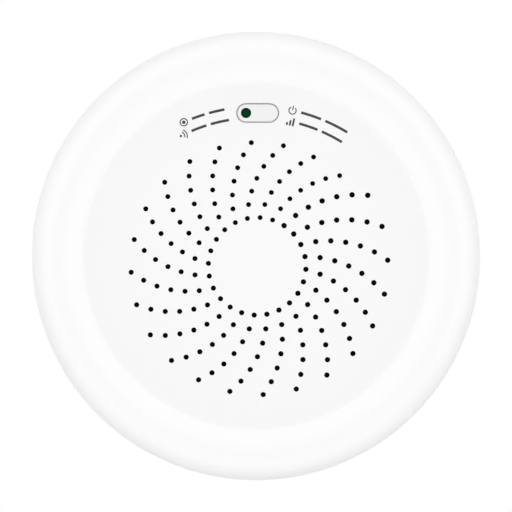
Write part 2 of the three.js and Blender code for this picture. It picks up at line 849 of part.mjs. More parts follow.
function makeCapacitor() {
  const profile = [
    [0, -capacitorHeight],
    [capacitorRadius - capacitorRound, -capacitorHeight],
    [capacitorRadius, capacitorRound - capacitorHeight],
    [capacitorRadius, 0],
    [0, 0],
  ];
  const { x, z } = capacitorPlace;
  return turned(profile, rodSides).translate([x, boardFrontY, z]);
}

// The horn's coil: a core between two flanges.
function makeCoil() {
  const profile = [
    [0, -coilHeight],
    [coilRadius, -coilHeight],
    [coilRadius, coilFlangeWall - coilHeight],
    [coilCoreRadius, coilFlangeWall - coilHeight],
    [coilCoreRadius, -coilFlangeWall],
    [coilRadius, -coilFlangeWall],
    [coilRadius, 0],
    [0, 0],
  ];
  const { x, z } = coilPlace;
  return turned(profile, rodSides).translate([x, boardFrontY, z]);
}

// A screw whose head lies behind y = 0 and whose shank points to the front, with a cross recess.
function makeScrew(headRadius, headHeight, shankRadius, shankLength) {
  const reach = headRadius * recessLengthShare;
  const half = recessWidth / 2;
  const bottomY = headHeight - recessDepth;
  const topY = headHeight + overrun;
  return cut(
    join(
      rod(headRadius, 0, 0, headHeight, 0, rodSides),
      rod(shankRadius, 0, 0, headHeight / 2, -shankLength, rodSides),
    ),
    block(-reach, reach, bottomY, topY, -half, half),
    block(-half, half, bottomY, topY, -reach, reach),
  );
}

function placed(mesh, x, y, z) {
  mesh.position.set(x, y, z);
  return mesh;
}

function bracketGroup() {
  const group = new THREE.Group();
  group.add(piece("mounting_bracket", makeBracket(), materials.rear));
  return group;
}

function casingGroup() {
  const group = new THREE.Group();
  group.add(piece("front_cover", makeFrontCover(), materials.shell));
  group.add(piece("rear_housing", makeRearHousing(), materials.rear));
  group.add(piece("insect_screen", makeInsectScreen(), materials.screen));
  const screw = makeScrew(caseHeadRadius, caseHeadHeight, caseShankRadius, caseShankLength);
  const seatY = plateBackY - caseHeadHeight - runningGap;
  ringPlaces(caseScrewCount, firstCaseScrewAngle, caseScrewRadius).forEach(({ x, z }, index) => {
    const mesh = piece(`case_screw_${index + 1}`, screw, materials.screwSteel);
    group.add(placed(mesh, x, seatY, z));
  });
  return group;
}

function electronicsGroup() {
  const group = new THREE.Group();
  group.add(piece("circuit_board", makeBoard(), materials.board));
  group.add(piece("co_sensor_body", makeSensorBody(), materials.sensorCan));
  group.add(piece("co_sensor_cap", makeSensorCap(), materials.blackPart));
  group.add(piece("horn_cup", makeHornCup(), materials.hornBody));
  group.add(piece("piezo_disc", makePiezoDisc(), materials.brassDisc));
  group.add(piece("piezo_ceramic", makePiezoCeramic(), materials.ceramic));
  group.add(piece("test_switch", makeSwitchBody(), materials.blackPart));
  group.add(piece("status_led", makeStatusLed(), materials.ledBody));
  group.add(piece("microcontroller", makeChip(), materials.blackPart));
  group.add(piece("buffer_capacitor", makeCapacitor(), materials.capacitorSleeve));
  group.add(piece("horn_coil", makeCoil(), materials.copperWinding));
  const screw = makeScrew(boardHeadRadius, boardHeadHeight, boardShankRadius, boardShankLength);
  ringPlaces(boardScrewCount, firstBoardScrewAngle, boardScrewRadius).forEach(({ x, z }, index) => {
    const mesh = piece(`board_screw_${index + 1}`, screw.mirror([0, 1, 0]), materials.screwSteel);
    group.add(placed(mesh, x, boardFrontY, z));
  });
  return group;
}

function batteryGroup() {
  const group = new THREE.Group();
  const cell = makeCell();
  const upper = piece("battery_1", cell, materials.cell);
  const lower = piece("battery_2", cell.mirror([1, 0, 0]), materials.cell);
  group.add(placed(upper, 0, cellY, cellZ));
  group.add(placed(lower, 0, cellY, -cellZ));
  const bridge = makeContact([-cellZ, cellZ], 0, -1);
  const positive = makeContact([cellZ], cellZ, 1);
  const negative = makeContact([-cellZ], -cellZ, 1);
  group.add(piece("contact_bridge", bridge, materials.springSteel));
  group.add(piece("contact_positive", positive, materials.springSteel));
  group.add(piece("contact_negative", negative, materials.springSteel));
  group.add(piece("battery_door", makeBatteryDoor(), materials.rear));
  return group;
}

function buttonGroup() {
  const group = new THREE.Group();
  group.add(piece("test_button", makeTestButton(), materials.button));
  group.add(piece("light_pipe", makeLightPipe(), materials.greenLens));
  group.add(piece("switch_plunger", makePlunger(), materials.blackPart));
  return group;
}

const group = new THREE.Group();
group.add(bracketGroup());
group.add(casingGroup());
group.add(electronicsGroup());
group.add(batteryGroup());
group.add(buttonGroup());

export default group;
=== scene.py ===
# A round battery carbon monoxide alarm on its wall bracket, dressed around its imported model.
# Sizes in the dictionaries are in millimetres and degrees. The wall is the plane y = 0,
# the face looks along -Y and +Z is up.
import math

import bmesh
import bpy
from mathutils import Matrix, Vector


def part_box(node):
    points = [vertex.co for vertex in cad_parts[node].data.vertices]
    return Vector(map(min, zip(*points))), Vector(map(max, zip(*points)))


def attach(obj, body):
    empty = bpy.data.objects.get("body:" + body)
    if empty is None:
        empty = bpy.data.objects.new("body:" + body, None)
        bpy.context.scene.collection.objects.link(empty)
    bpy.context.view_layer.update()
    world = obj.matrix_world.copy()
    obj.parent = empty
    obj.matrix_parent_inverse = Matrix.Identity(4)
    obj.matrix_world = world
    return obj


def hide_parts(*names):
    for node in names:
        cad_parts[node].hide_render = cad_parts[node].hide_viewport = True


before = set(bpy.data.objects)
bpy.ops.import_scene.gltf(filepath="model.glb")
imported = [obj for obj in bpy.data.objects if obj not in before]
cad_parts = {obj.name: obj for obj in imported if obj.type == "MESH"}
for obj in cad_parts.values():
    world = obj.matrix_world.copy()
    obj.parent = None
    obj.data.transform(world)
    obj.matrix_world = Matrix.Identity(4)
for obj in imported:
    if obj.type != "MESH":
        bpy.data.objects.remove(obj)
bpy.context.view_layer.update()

scene = bpy.context.scene
scene.view_settings.view_transform = "Standard"
mm = 0.001
smoothAngle = math.radians(32)
weldDistance = 1e-7


def report(words):
    print("alarm scene:", words)


def span(node):
    # The lowest and highest corners of a CAD node, in millimetres.
    low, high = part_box(node)
    return low / mm, high / mm


# Node trees, for materials and for geometry

class Wire:
    # One output of a node. Python's operators on it add Math nodes.
    def __init__(self, graph, socket):
        self.graph = graph
        self.socket = socket

    def calculate(self, operation, *values):
        return self.graph.node("ShaderNodeMath", {"operation": operation}, dict(enumerate(values)))

    def __add__(self, other):
        return self.calculate("ADD", self, other)

    def __radd__(self, other):
        return self.calculate("ADD", other, self)

    def __sub__(self, other):
        return self.calculate("SUBTRACT", self, other)

    def __rsub__(self, other):
        return self.calculate("SUBTRACT", other, self)

    def __mul__(self, other):
        return self.calculate("MULTIPLY", self, other)

    def __rmul__(self, other):
        return self.calculate("MULTIPLY", other, self)

    def __truediv__(self, other):
        return self.calculate("DIVIDE", self, other)

    def __rtruediv__(self, other):
        return self.calculate("DIVIDE", other, self)

    def __pow__(self, other):
        return self.calculate("POWER", self, other)

    def __neg__(self):
        return self.calculate("MULTIPLY", self, -1.0)

    def __gt__(self, other):
        return self.calculate("GREATER_THAN", self, other)

    def __lt__(self, other):
        return self.calculate("LESS_THAN", self, other)


class Graph:
    # A node tree that is filled one node at a time.
    def __init__(self, tree):
        self.tree = tree

    def node(self, kind, settings=None, sockets=None, output=0):
        made = self.tree.nodes.new(kind)
        for name, value in (settings or {}).items():
            setattr(made, name, value)
        for key, value in (sockets or {}).items():
            for one in value if isinstance(value, list) else [value]:
                if isinstance(one, Wire):
                    self.tree.links.new(one.socket, made.inputs[key])
                else:
                    made.inputs[key].default_value = one
        return made if output is None else Wire(self, made.outputs[output])

    def calculate(self, operation, *values):
        return self.node("ShaderNodeMath", {"operation": operation}, dict(enumerate(values)))

    def sine(self, value):
        return self.calculate("SINE", value)

    def cosine(self, value):
        return self.calculate("COSINE", value)

    def floor(self, value):
        return self.calculate("FLOOR", value)

    def root(self, value):
        return self.calculate("SQRT", value)

    def absolute(self, value):
        return self.calculate("ABSOLUTE", value)

    def smaller(self, first, second):
        return self.calculate("MINIMUM", first, second)

    def larger(self, first, second):
        return self.calculate("MAXIMUM", first, second)

    def clamped(self, value):
        return self.node("ShaderNodeClamp", sockets={"Value": value})

    def point(self, x, y, z):
        return self.node("ShaderNodeCombineXYZ", sockets={"X": x, "Y": y, "Z": z})

    def parts(self, vector):
        kind = "ShaderNodeSeparateXYZ"
        return [self.node(kind, sockets={0: vector}, output=axis) for axis in range(3)]

    def step(self, value, low, high):
        # Rises smoothly from 0 at low to 1 at high.
        return self.node(
            "ShaderNodeMapRange",
            {"interpolation_type": "SMOOTHSTEP"},
            {"Value": value, "From Min": low, "From Max": high},
        )


class Finish(Graph):
    # A material with one principled shader, read from an object's own coordinates in millimetres.
    def __init__(self, name, **constants):
        self.material = bpy.data.materials.new(name)
        self.material.use_nodes = True
        super().__init__(self.material.node_tree)
        self.tree.nodes.clear()
        self.shader = self.tree.nodes.new("ShaderNodeBsdfPrincipled")
        output = self.tree.nodes.new("ShaderNodeOutputMaterial")
        self.tree.links.new(self.shader.outputs["BSDF"], output.inputs["Surface"])
        for socket, value in constants.items():
            self.shader.inputs[socket.replace("_", " ")].default_value = value
        place = self.node("ShaderNodeTexCoord", output=3)
        self.place = self.node(
            "ShaderNodeVectorMath", {"operation": "SCALE"}, {0: place, "Scale": 1 / mm}
        )

    def feed(self, socket, wire):
        self.tree.links.new(wire.socket, self.shader.inputs[socket])

    def centred(self, x, y, z):
        sockets = {"Vector": self.place, "Location": (-x, -y, -z)}
        return self.node("ShaderNodeMapping", {"vector_type": "POINT"}, sockets)

    def noise(self, scale, detail=2.0, roughness=0.5, distortion=0.0, vector=None):
        return self.node(
            "ShaderNodeTexNoise",
            sockets={
                "Vector": vector or self.place,
                "Scale": scale,
                "Detail": detail,
                "Roughness": roughness,
                "Distortion": distortion,
            },
        )

    def cells(self, scale):
        sockets = {"Vector": self.place, "Scale": scale}
        return self.node("ShaderNodeTexVoronoi", sockets=sockets)

    def stretched(self, x, y, z):
        sockets = {"Vector": self.place, "Scale": (x, y, z)}
        return self.node("ShaderNodeMapping", sockets=sockets)

    def blend(self, share, first, second):
        return self.node(
            "ShaderNodeMix", {"data_type": "RGBA"}, {0: share, 6: first, 7: second}, output=2
        )

    def bump(self, height, depth):
        sockets = {"Height": height, "Distance": depth * mm}
        self.feed("Normal", self.node("ShaderNodeBump", sockets=sockets))


def tone(level, warmth=0.0):
    # A near-grey colour, a little warmer or cooler.
    return (level * (1 + warmth), level, level * (1 - warmth), 1.0)


# Meshes. Outlines are functions of an offset, so that edges can be rounded.

def meshPiece(name, vertices, faces):
    mesh = bpy.data.meshes.new(name)
    mesh.from_pydata([Vector(vertex) * mm for vertex in vertices], [], faces)
    shape = bmesh.new()
    shape.from_mesh(mesh)
    bmesh.ops.remove_doubles(shape, verts=shape.verts, dist=weldDistance)
    bmesh.ops.recalc_face_normals(shape, faces=shape.faces)
    shape.to_mesh(mesh)
    shape.free()
    made = bpy.data.objects.new(name, mesh)
    scene.collection.objects.link(made)
    return made


def loft(name, outline, levels):
    # A closed solid from an outline in x and z, given its (y, offset) levels from back to front.
    rings = [outline(offset) for y, offset in levels]
    count = len(rings[0])
    vertices = [(x, y, z) for ring, (y, offset) in zip(rings, levels) for x, z in ring]
    faces = [list(range(count)), list(range(len(vertices) - count, len(vertices)))]
    for level in range(len(levels) - 1):
        for side in range(count):
            here = level * count + side
            there = level * count + (side + 1) % count
            faces.append([here, there, there + count, here + count])
    return meshPiece(name, vertices, faces)


def lathe(name, profile, sides, centre=(0, 0, 0), axis="Y", hollow=False):
    # A solid turned round an axis, from (radius, along) points. Flat discs close its two ends,
    # or, on a hollow one, the last point joins the first.
    vertices = []
    for radius, along in profile:
        for side in range(sides):
            angle = 2 * math.pi * side / sides
            vertices.append((radius * math.cos(angle), along, radius * math.sin(angle)))
    if axis == "X":
        vertices = [(along, y, z) for y, along, z in vertices]
    vertices = [(x + centre[0], y + centre[1], z + centre[2]) for x, y, z in vertices]
    total = len(vertices)
    faces = [] if hollow else [list(range(sides)), list(range(total - sides, total))]
    for level in range(len(profile) if hollow else len(profile) - 1):
        for side in range(sides):
            following = (side + 1) % sides
            corners = (side, following, sides + following, sides + side)
            faces.append([(level * sides + corner) % total for corner in corners])
    return meshPiece(name, vertices, faces)


def arc(middleX, middleY, reachX, reachY, fromAngle, toAngle, steps):
    points = []
    for step in range(steps + 1):
        angle = math.radians(fromAngle + (toAngle - fromAngle) * step / steps)
        points.append((middleX + reachX * math.cos(angle), middleY + reachY * math.sin(angle)))
    return points


def capsule(length, height, x, z, steps=16):
    reach = (length - height) / 2

    def outline(offset):
        radius = height / 2 + offset
        right = arc(x + reach, z, radius, radius, -90, 90, steps)
        return right + arc(x - reach, z, radius, radius, 90, 270, steps)

    return outline


def disc(radius, x=0.0, z=0.0, sides=32):
    last = 360 - 360 / sides
    return lambda offset: arc(x, z, radius + offset, radius + offset, 0, last, sides - 1)


def rectangle(lowX, highX, lowZ, highZ, corner, steps=4):
    def outline(offset):
        radius = corner + offset
        points = []
        for x, z, angle in (
            (highX - corner, lowZ + corner, -90),
            (highX - corner, highZ - corner, 0),
            (lowX + corner, highZ - corner, 90),
            (lowX + corner, lowZ + corner, 180),
        ):
            points += arc(x, z, radius, radius, angle, angle + 90, steps)
        return points

    return outline


def curvedSlot(radius, width, middle, opening, steps=24):
    # A slot bent round the middle of the object, with half-round ends.
    def outline(offset):
        half = width / 2 + offset
        low = middle - opening / 2
        high = middle + opening / 2
        points = arc(0, 0, radius + half, radius + half, low, high, steps)
        for angle, turn in ((high, 0), (low, 180)):
            endX = radius * math.cos(math.radians(angle))
            endZ = radius * math.sin(math.radians(angle))
            end = arc(endX, endZ, half, half, angle + turn, angle + turn + 180, steps // 2)
            points += end[1:-1]
            if turn == 0:
                points += arc(0, 0, radius - half, radius - half, high, low, steps)
        return points

    return outline


def sector(inner, outer, fromAngle, toAngle, steps=12):
    def outline(offset):
        grown = math.degrees(offset / outer)
        low = fromAngle - grown
        high = toAngle + grown
        points = arc(0, 0, outer + offset, outer + offset, low, high, steps)
        return points + arc(0, 0, inner - offset, inner - offset, high, low, steps)

    return outline


def roundedLevels(backY, frontY, backRound=0.0, frontRound=0.0, steps=4):
    # The levels of a solid whose back and front edges are rounded.
    levels = []
    for turn in range(steps + 1 if backRound else 1):
        angle = math.radians(90 * turn / steps)
        y = backY - backRound * (1 - math.cos(angle))
        levels.append((y, -backRound * (1 - math.sin(angle))))
    for turn in range(steps + 1 if frontRound else 1):
        angle = math.radians(90 - 90 * turn / steps)
        y = frontY + frontRound * (1 - math.cos(angle))
        levels.append((y, -frontRound * (1 - math.sin(angle))))
    return levels


def carved(base, adds=(), cuts=()):
    # Joins solids to a base and cuts others out of it, and removes them.
    for tools, operation in ((adds, "UNION"), (cuts, "DIFFERENCE")):
        for tool in tools:
            step = base.modifiers.new("carve", "BOOLEAN")
            step.operation = operation
            step.solver = "MANIFOLD"
            step.object = tool
    settle(base)
    for tool in [*adds, *cuts]:
        bpy.data.meshes.remove(tool.data)
    return base


def settle(piece):
    # Turns what a piece's modifiers make into its plain mesh.
    bpy.context.view_layer.update()
    made = piece.evaluated_get(bpy.context.evaluated_depsgraph_get())
    mesh = bpy.data.meshes.new_from_object(made)
    piece.modifiers.clear()
    before = piece.data
    piece.data = mesh
    bpy.data.meshes.remove(before)
    mesh.name = piece.name


def rings(count, firstAngle, radius):
    places = []
    for index in range(count):
        angle = firstAngle + 360 * index / count
        turn = math.radians(angle)
        places.append((angle, radius * math.cos(turn), radius * math.sin(turn)))
    return places


def dress(piece, finish, body, slot, *nodes):
    # Smooths a finished piece, gives it its material and seats it on its body.
    piece.data.materials.clear()
    piece.data.materials.append(finish.material)
    piece.data.shade_smooth()
    piece.data.set_sharp_from_angle(angle=smoothAngle)
    weighted = piece.modifiers.new("flats stay flat", "WEIGHTED_NORMAL")
    weighted.keep_sharp = True
    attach(piece, body)
    if nodes:
        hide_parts(*nodes)
    return piece


# Finishes

plastics = {
    "cover": dict(level=0.885, warmth=0.0, mottle=0.006, roughness=0.48, grain=4.5, depth=0.004),
    "housing": dict(level=0.87, warmth=0.001, mottle=0.008, roughness=0.46, grain=3.6, depth=0.007),
    "bracket": dict(level=0.85, warmth=0.002, mottle=0.01, roughness=0.52, grain=3.0, depth=0.009),
    "door": dict(level=0.865, warmth=0.002, mottle=0.008, roughness=0.48, grain=3.6, depth=0.007),
    "button": dict(level=0.825, warmth=0.0, mottle=0.005, roughness=0.3, grain=5.0, depth=0.002),
    "print": dict(level=0.045, warmth=0.0, mottle=0.1, roughness=0.6, grain=7.0, depth=0.002),
    "black": dict(level=0.022, warmth=0.0, mottle=0.15, roughness=0.42, grain=4.0, depth=0.006),
    "horn": dict(level=0.03, warmth=0.0, mottle=0.12, roughness=0.55, grain=3.0, depth=0.01),
}

metals = {
    "sensorCan": dict(
        colour=(0.62, 0.63, 0.65), roughness=0.28, brush=(0.3, 9.0, 0.3), depth=0.004,
    ),
    "brass": dict(colour=(0.72, 0.52, 0.2), roughness=0.3, brush=(0.5, 1.0, 7.0), depth=0.003),
    "spring": dict(colour=(0.68, 0.67, 0.64), roughness=0.24, brush=(0.6, 6.0, 0.6), depth=0.003),
    "screw": dict(colour=(0.56, 0.57, 0.59), roughness=0.32, brush=(2.0, 2.0, 2.0), depth=0.005),
}


moulding = {
    "index": 1.47,
    "flowScale": 0.035,
    "flowShare": 0.65,  # the rest is fleck
    "fleckScale": 1.6,
    "polishScale": 0.5,
    "polishRange": 0.1,
    "sinkScale": 0.06,
    "sinkDepth": 4.0,  # in depths of the grain
}

brushing = {
    "stainScale": 0.25,
    "stainFrom": 0.3,
    "stainTo": 0.75,
    "dulling": (0.82, 0.82, 0.8),
    "smoothest": 0.06,
    "roughnessRange": 0.14,
}


def mouldedPlastic(name):
    look = plastics[name]
    finish = Finish(name + " plastic", IOR=moulding["index"])
    flow = finish.noise(moulding["flowScale"], detail=3, distortion=0.6)
    fleck = finish.noise(moulding["fleckScale"], detail=4, roughness=0.6)
    flowShare = moulding["flowShare"]
    share = finish.clamped(flowShare * flow + (1 - flowShare) * fleck)
    low, high = (
        tone(look["level"] * (1 + side * look["mottle"]), look["warmth"]) for side in (-1, 1)
    )
    finish.feed("Base Color", finish.blend(share, low, high))
    smoothest = look["roughness"] - moulding["polishRange"] / 2
    polish = finish.noise(moulding["polishScale"], detail=3)
    finish.feed("Roughness", smoothest + moulding["polishRange"] * polish)
    grain = finish.noise(look["grain"], detail=2, roughness=0.55)
    sink = finish.noise(moulding["sinkScale"], detail=1)
    finish.bump(grain + moulding["sinkDepth"] * sink, look["depth"])
    return finish


def brushedMetal(name):
    look = metals[name]
    finish = Finish(name + " metal", Metallic=1.0)
    lines = finish.noise(1.0, detail=4, roughness=0.7, vector=finish.stretched(*look["brush"]))
    stain = finish.noise(brushing["stainScale"], detail=3)
    stained = finish.step(stain, brushing["stainFrom"], brushing["stainTo"])
    clean = (*look["colour"], 1.0)
    dull = (*(part * loss for part, loss in zip(look["colour"], brushing["dulling"])), 1.0)
    finish.feed("Base Color", finish.blend(stained, clean, dull))
    smoothest = look["roughness"] - brushing["smoothest"]
    finish.feed("Roughness", smoothest + brushing["roughnessRange"] * lines)
    finish.bump(lines, look["depth"])
    return finish


lens = {
    "core": (0.0, 0.052, 0.012, 1.0),
    # the darker green of the painted shade at the rim
    "rim": (0.0, 0.02, 0.006, 1.0),
    "rimShadeFrom": 0.35,  # of the radius
    "index": 1.49,
    "specular": 0.02,
    "facetScale": 3.0,
    "facetShare": 0.25,
    "roughness": 0.16,
    "polishScale": 2.0,
    "polishRange": 0.05,
}


def tintedLens(centre, radius):
    # Clear green plastic, unlit, that darkens towards its rim: painted shade, mixed with a pattern
    # of cells.
    finish = Finish("green lens", IOR=lens["index"])
    finish.shader.inputs["Specular IOR Level"].default_value = lens["specular"]
    x, y, z = finish.parts(finish.centred(*centre))
    reach = finish.root(x * x + z * z) / radius
    facets = finish.cells(lens["facetScale"])
    # Painted shade: the colour darkens from the core towards the rim, and the cells darken it in
    # patches.
    shade = finish.step(reach, lens["rimShadeFrom"], 1.0) + lens["facetShare"] * facets
    finish.feed("Base Color", finish.blend(finish.clamped(shade), lens["core"], lens["rim"]))
    polish = finish.noise(lens["polishScale"])
    finish.feed("Roughness", lens["roughness"] + lens["polishRange"] * polish)
    return finish


weave = {
    "pitch": 0.42,
    "wire": 0.62,
    "level": 0.012,
    # the colour of the openings, which is painted shade
    "gap": 0.003,
    "depth": 0.05,
    "index": 1.4,
    "specular": 0.1,
    "roughness": 0.55,
    "polishScale": 2.0,
    "polishRange": 0.2,
}


def wovenScreen():
    # Blackened wires that pass over and under each other, with painted shade in the openings
    # between them, where one passes under another, and towards each wire's edges.
    finish = Finish("woven screen", IOR=weave["index"])
    finish.shader.inputs["Specular IOR Level"].default_value = weave["specular"]
    x, y, z = finish.parts(finish.place)
    turn = math.pi / weave["pitch"]
    across = finish.absolute(finish.sine(x * turn))
    up = finish.absolute(finish.sine(z * turn))
    over = 0.5 + 0.5 * finish.sine(x * turn / 2) * finish.sine(z * turn / 2)
    wires = finish.larger(across * over, up * (1 - over))
    # Painted shade: the colour falls to the openings' dark where the wires thin towards their edges
    # and where one passes under the other.
    mask = finish.step(wires, 1 - weave["wire"], 1.0)
    finish.feed("Base Color", finish.blend(mask, tone(weave["gap"]), tone(weave["level"])))
    polish = finish.noise(weave["polishScale"])
    finish.feed("Roughness", weave["roughness"] + weave["polishRange"] * polish)
    finish.bump(wires, weave["depth"])
    return finish


board = {
    "mask": (0.012, 0.1, 0.045, 1.0),
    "trace": (0.03, 0.19, 0.08, 1.0),
    "pad": (0.62, 0.55, 0.4, 1.0),
    "index": 1.5,
    "pitch": 2.54,
    "traceWidth": 0.07,  # in pitches, as are the runs' length and gap
    "runLength": 2.6,
    "runGap": 0.5,
    "padShiftX": 0.3,
    "padShiftZ": 0.2,
    "padRadius": 0.42,
    "padEdge": 0.06,
    "pickScale": 0.11,  # of the noise that picks the places with pads
    "pickFrom": 0.52,
    "cloudScale": 0.2,
    "cloudShare": 0.3,
    "roughness": 0.32,
    "cloudRoughness": 0.08,
    "padPolish": 0.04,
    "depth": 0.03,
}


def solderMask():
    # Green mask over copper traces, with tinned pads on a grid.
    finish = Finish("solder mask", IOR=board["index"])
    x, y, z = finish.parts(finish.place)
    pitch = board["pitch"]
    grid = finish.node(
        "ShaderNodeTexBrick",
        {"offset": 0.5, "squash": 1.6, "squash_frequency": 3},
        {
            "Vector": finish.point(x, z, 0.0), "Scale": 1 / pitch,
            "Color1": tone(1.0), "Color2": tone(1.0), "Mortar": tone(0.0),
            "Mortar Size": board["traceWidth"], "Brick Width": board["runLength"],
            "Row Height": board["runGap"],
        },
        output=1,
    )
    wrapX = finish.calculate("PINGPONG", x + board["padShiftX"], pitch / 2)
    wrapZ = finish.calculate("PINGPONG", z + board["padShiftZ"], pitch / 2)
    reach = finish.root(wrapX * wrapX + wrapZ * wrapZ)
    chosen = finish.noise(board["pickScale"], detail=1) > board["pickFrom"]
    radius = board["padRadius"]
    pads = chosen * (1 - finish.step(reach, radius - board["padEdge"], radius))
    cloud = finish.noise(board["cloudScale"], detail=3)
    copper = grid * (1 - board["cloudShare"] + board["cloudShare"] * cloud)
    green = finish.blend(copper, board["mask"], board["trace"])
    finish.feed("Base Color", finish.blend(pads, green, board["pad"]))
    finish.feed("Metallic", pads)
    rough = board["roughness"] + board["cloudRoughness"] * cloud
    finish.feed("Roughness", rough - board["padPolish"] * pads)
    finish.bump(grid + pads, board["depth"])
    return finish


ceramic = {
    "body": (0.78, 0.74, 0.64, 1.0),
    "silver": (0.6, 0.72),
    "index": 1.6,
    "electrode": 8.3,
    "edge": 0.1,
    "streakScale": 1.5,
    "streakStretch": 5.0,
    "streakHeight": 0.2,
    "metallic": 0.9,
    "roughness": 0.5,
    "streakRoughness": 0.15,
    "silverPolish": 0.15,
    "depth": 0.02,
}


def firedCeramic():
    # Silvered ceramic: a pale rim round a duller electrode, which has brush marks.
    finish = Finish("fired ceramic", IOR=ceramic["index"])
    x, y, z = finish.parts(finish.place)
    reach = finish.root(x * x + z * z)
    radius = ceramic["electrode"]
    electrode = 1 - finish.step(reach, radius - ceramic["edge"], radius)
    across = finish.stretched(1.0, 1.0, ceramic["streakStretch"])
    streak = finish.noise(ceramic["streakScale"], detail=3, vector=across)
    silver = finish.blend(streak, *(tone(level) for level in ceramic["silver"]))
    finish.feed("Base Color", finish.blend(electrode, ceramic["body"], silver))
    finish.feed("Metallic", ceramic["metallic"] * electrode)
    rough = ceramic["roughness"] + ceramic["streakRoughness"] * streak
    finish.feed("Roughness", rough - ceramic["silverPolish"] * electrode)
    finish.bump(electrode + ceramic["streakHeight"] * streak, ceramic["depth"])
    return finish


lamp = {
    "body": (0.86, 0.86, 0.82, 1.0),
    "phosphor": (0.82, 0.66, 0.12, 1.0),
    "index": 1.5,
    "windowRadius": 0.95,
    "windowEdge": 0.08,
    "windowPolish": 0.3,
    "windowSink": 2.0,
    "grainScale": 3.0,
    "grainShare": 0.2,
    "grainRoughness": 0.1,
    "roughness": 0.45,
    "depth": 0.01,
}


def lampBody(centre):
    # A white package with a yellowish window in its middle.
    finish = Finish("lamp body", IOR=lamp["index"])
    x, y, z = finish.parts(finish.centred(*centre))
    reach = finish.root(x * x + z * z)
    radius = lamp["windowRadius"]
    window = 1 - finish.step(reach, radius - lamp["windowEdge"], radius)
    grain = finish.noise(lamp["grainScale"], detail=3)
    share = window * (1 - lamp["grainShare"] + lamp["grainShare"] * grain)
    finish.feed("Base Color", finish.blend(share, lamp["body"], lamp["phosphor"]))
    rough = lamp["roughness"] - lamp["windowPolish"] * window
    finish.feed("Roughness", rough + lamp["grainRoughness"] * grain)
    finish.bump(grain - lamp["windowSink"] * window, lamp["depth"])
    return finish


sleeve = {
    "colour": (0.012, 0.02, 0.035, 1.0),
    "stripe": (0.55, 0.58, 0.6, 1.0),
    "top": (0.72, 0.73, 0.74, 1.0),
    "index": 1.5,
    "stripeHalf": 1.1,
    "topRim": 3.3,
    "topDepth": 0.3,
    "edge": 0.1,
    "scoreFrom": 0.12,
    "scoreTo": 0.3,
    "scoreSink": 3.0,
    "cloudScale": 0.8,
    "cloudShare": 0.1,
    "cloudRoughness": 0.1,
    "roughness": 0.34,
    "depth": 0.02,
}


def shrunkSleeve(low, high):
    # A dark sleeve with a pale stripe down one side and a bare, scored metal top.
    finish = Finish("shrunk sleeve", IOR=sleeve["index"])
    x, y, z = finish.parts(finish.centred((low.x + high.x) / 2, low.y, (low.z + high.z) / 2))
    reach = finish.root(x * x + z * z)
    half = sleeve["stripeHalf"]
    rim = sleeve["topRim"]
    outside = finish.step(finish.absolute(z), half - sleeve["edge"], half)
    stripe = (1 - outside) * (x > 0.0)
    top = (y < sleeve["topDepth"]) * (1 - finish.step(reach, rim - sleeve["edge"], rim))
    score = finish.smaller(finish.absolute(x), finish.absolute(z))
    scored = top * (1 - finish.step(score, sleeve["scoreFrom"], sleeve["scoreTo"]))
    cloud = finish.noise(sleeve["cloudScale"], detail=3)
    printed = stripe * (1 - sleeve["cloudShare"] + sleeve["cloudShare"] * cloud)
    side = finish.blend(printed, sleeve["colour"], sleeve["stripe"])
    finish.feed("Base Color", finish.blend(top, side, sleeve["top"]))
    finish.feed("Metallic", top)
    finish.feed("Roughness", sleeve["roughness"] + sleeve["cloudRoughness"] * cloud)
    finish.bump(cloud - sleeve["scoreSink"] * scored, sleeve["depth"])
    return finish


wire = {
    "colour": (0.5, 0.19, 0.07, 1.0),
    "dull": (0.36, 0.12, 0.04, 1.0),
    "metallic": 0.8,
    "index": 1.5,
    "coat": 0.4,
    "coatRoughness": 0.15,
    "runScale": 1.2,
    "runStretch": 6.0,
    "runRoughness": 0.12,
    "roughness": 0.26,
    "depth": 0.008,
}


def enamelledWire():
    finish = Finish(
        "enamelled wire", Metallic=wire["metallic"], IOR=wire["index"],
        Coat_Weight=wire["coat"], Coat_Roughness=wire["coatRoughness"],
    )
    along = finish.stretched(1.0, wire["runStretch"], 1.0)
    run = finish.noise(wire["runScale"], detail=3, vector=along)
    finish.feed("Base Color", finish.blend(run, wire["colour"], wire["dull"]))
    finish.feed("Roughness", wire["roughness"] + wire["runRoughness"] * run)
    finish.bump(run, wire["depth"])
    return finish


jacket = {
    "colour": (0.1, 0.16, 0.2, 1.0),
    "band": (0.62, 0.66, 0.68, 1.0),
    "steel": (0.66, 0.66, 0.64, 1.0),
    "insulator": (0.02, 0.02, 0.022, 1.0),
    "index": 1.5,
    "bandFrom": 13.0,
    "bandTo": 20.5,
    "bandSink": 0.4,
    "crimp": 0.5,
    "shoulderLap": 0.01,
    "scuffScale": 0.9,
    "scuffStretch": (0.4, 1.5, 1.5),
    "scuffFrom": 0.62,
    "scuffTo": 0.8,
    "scuffShare": 0.25,
    "scuffRoughness": 0.12,
    "sheen": 0.35,
    "roughness": 0.3,
    "dentScale": 0.6,
    "depth": 0.015,
}


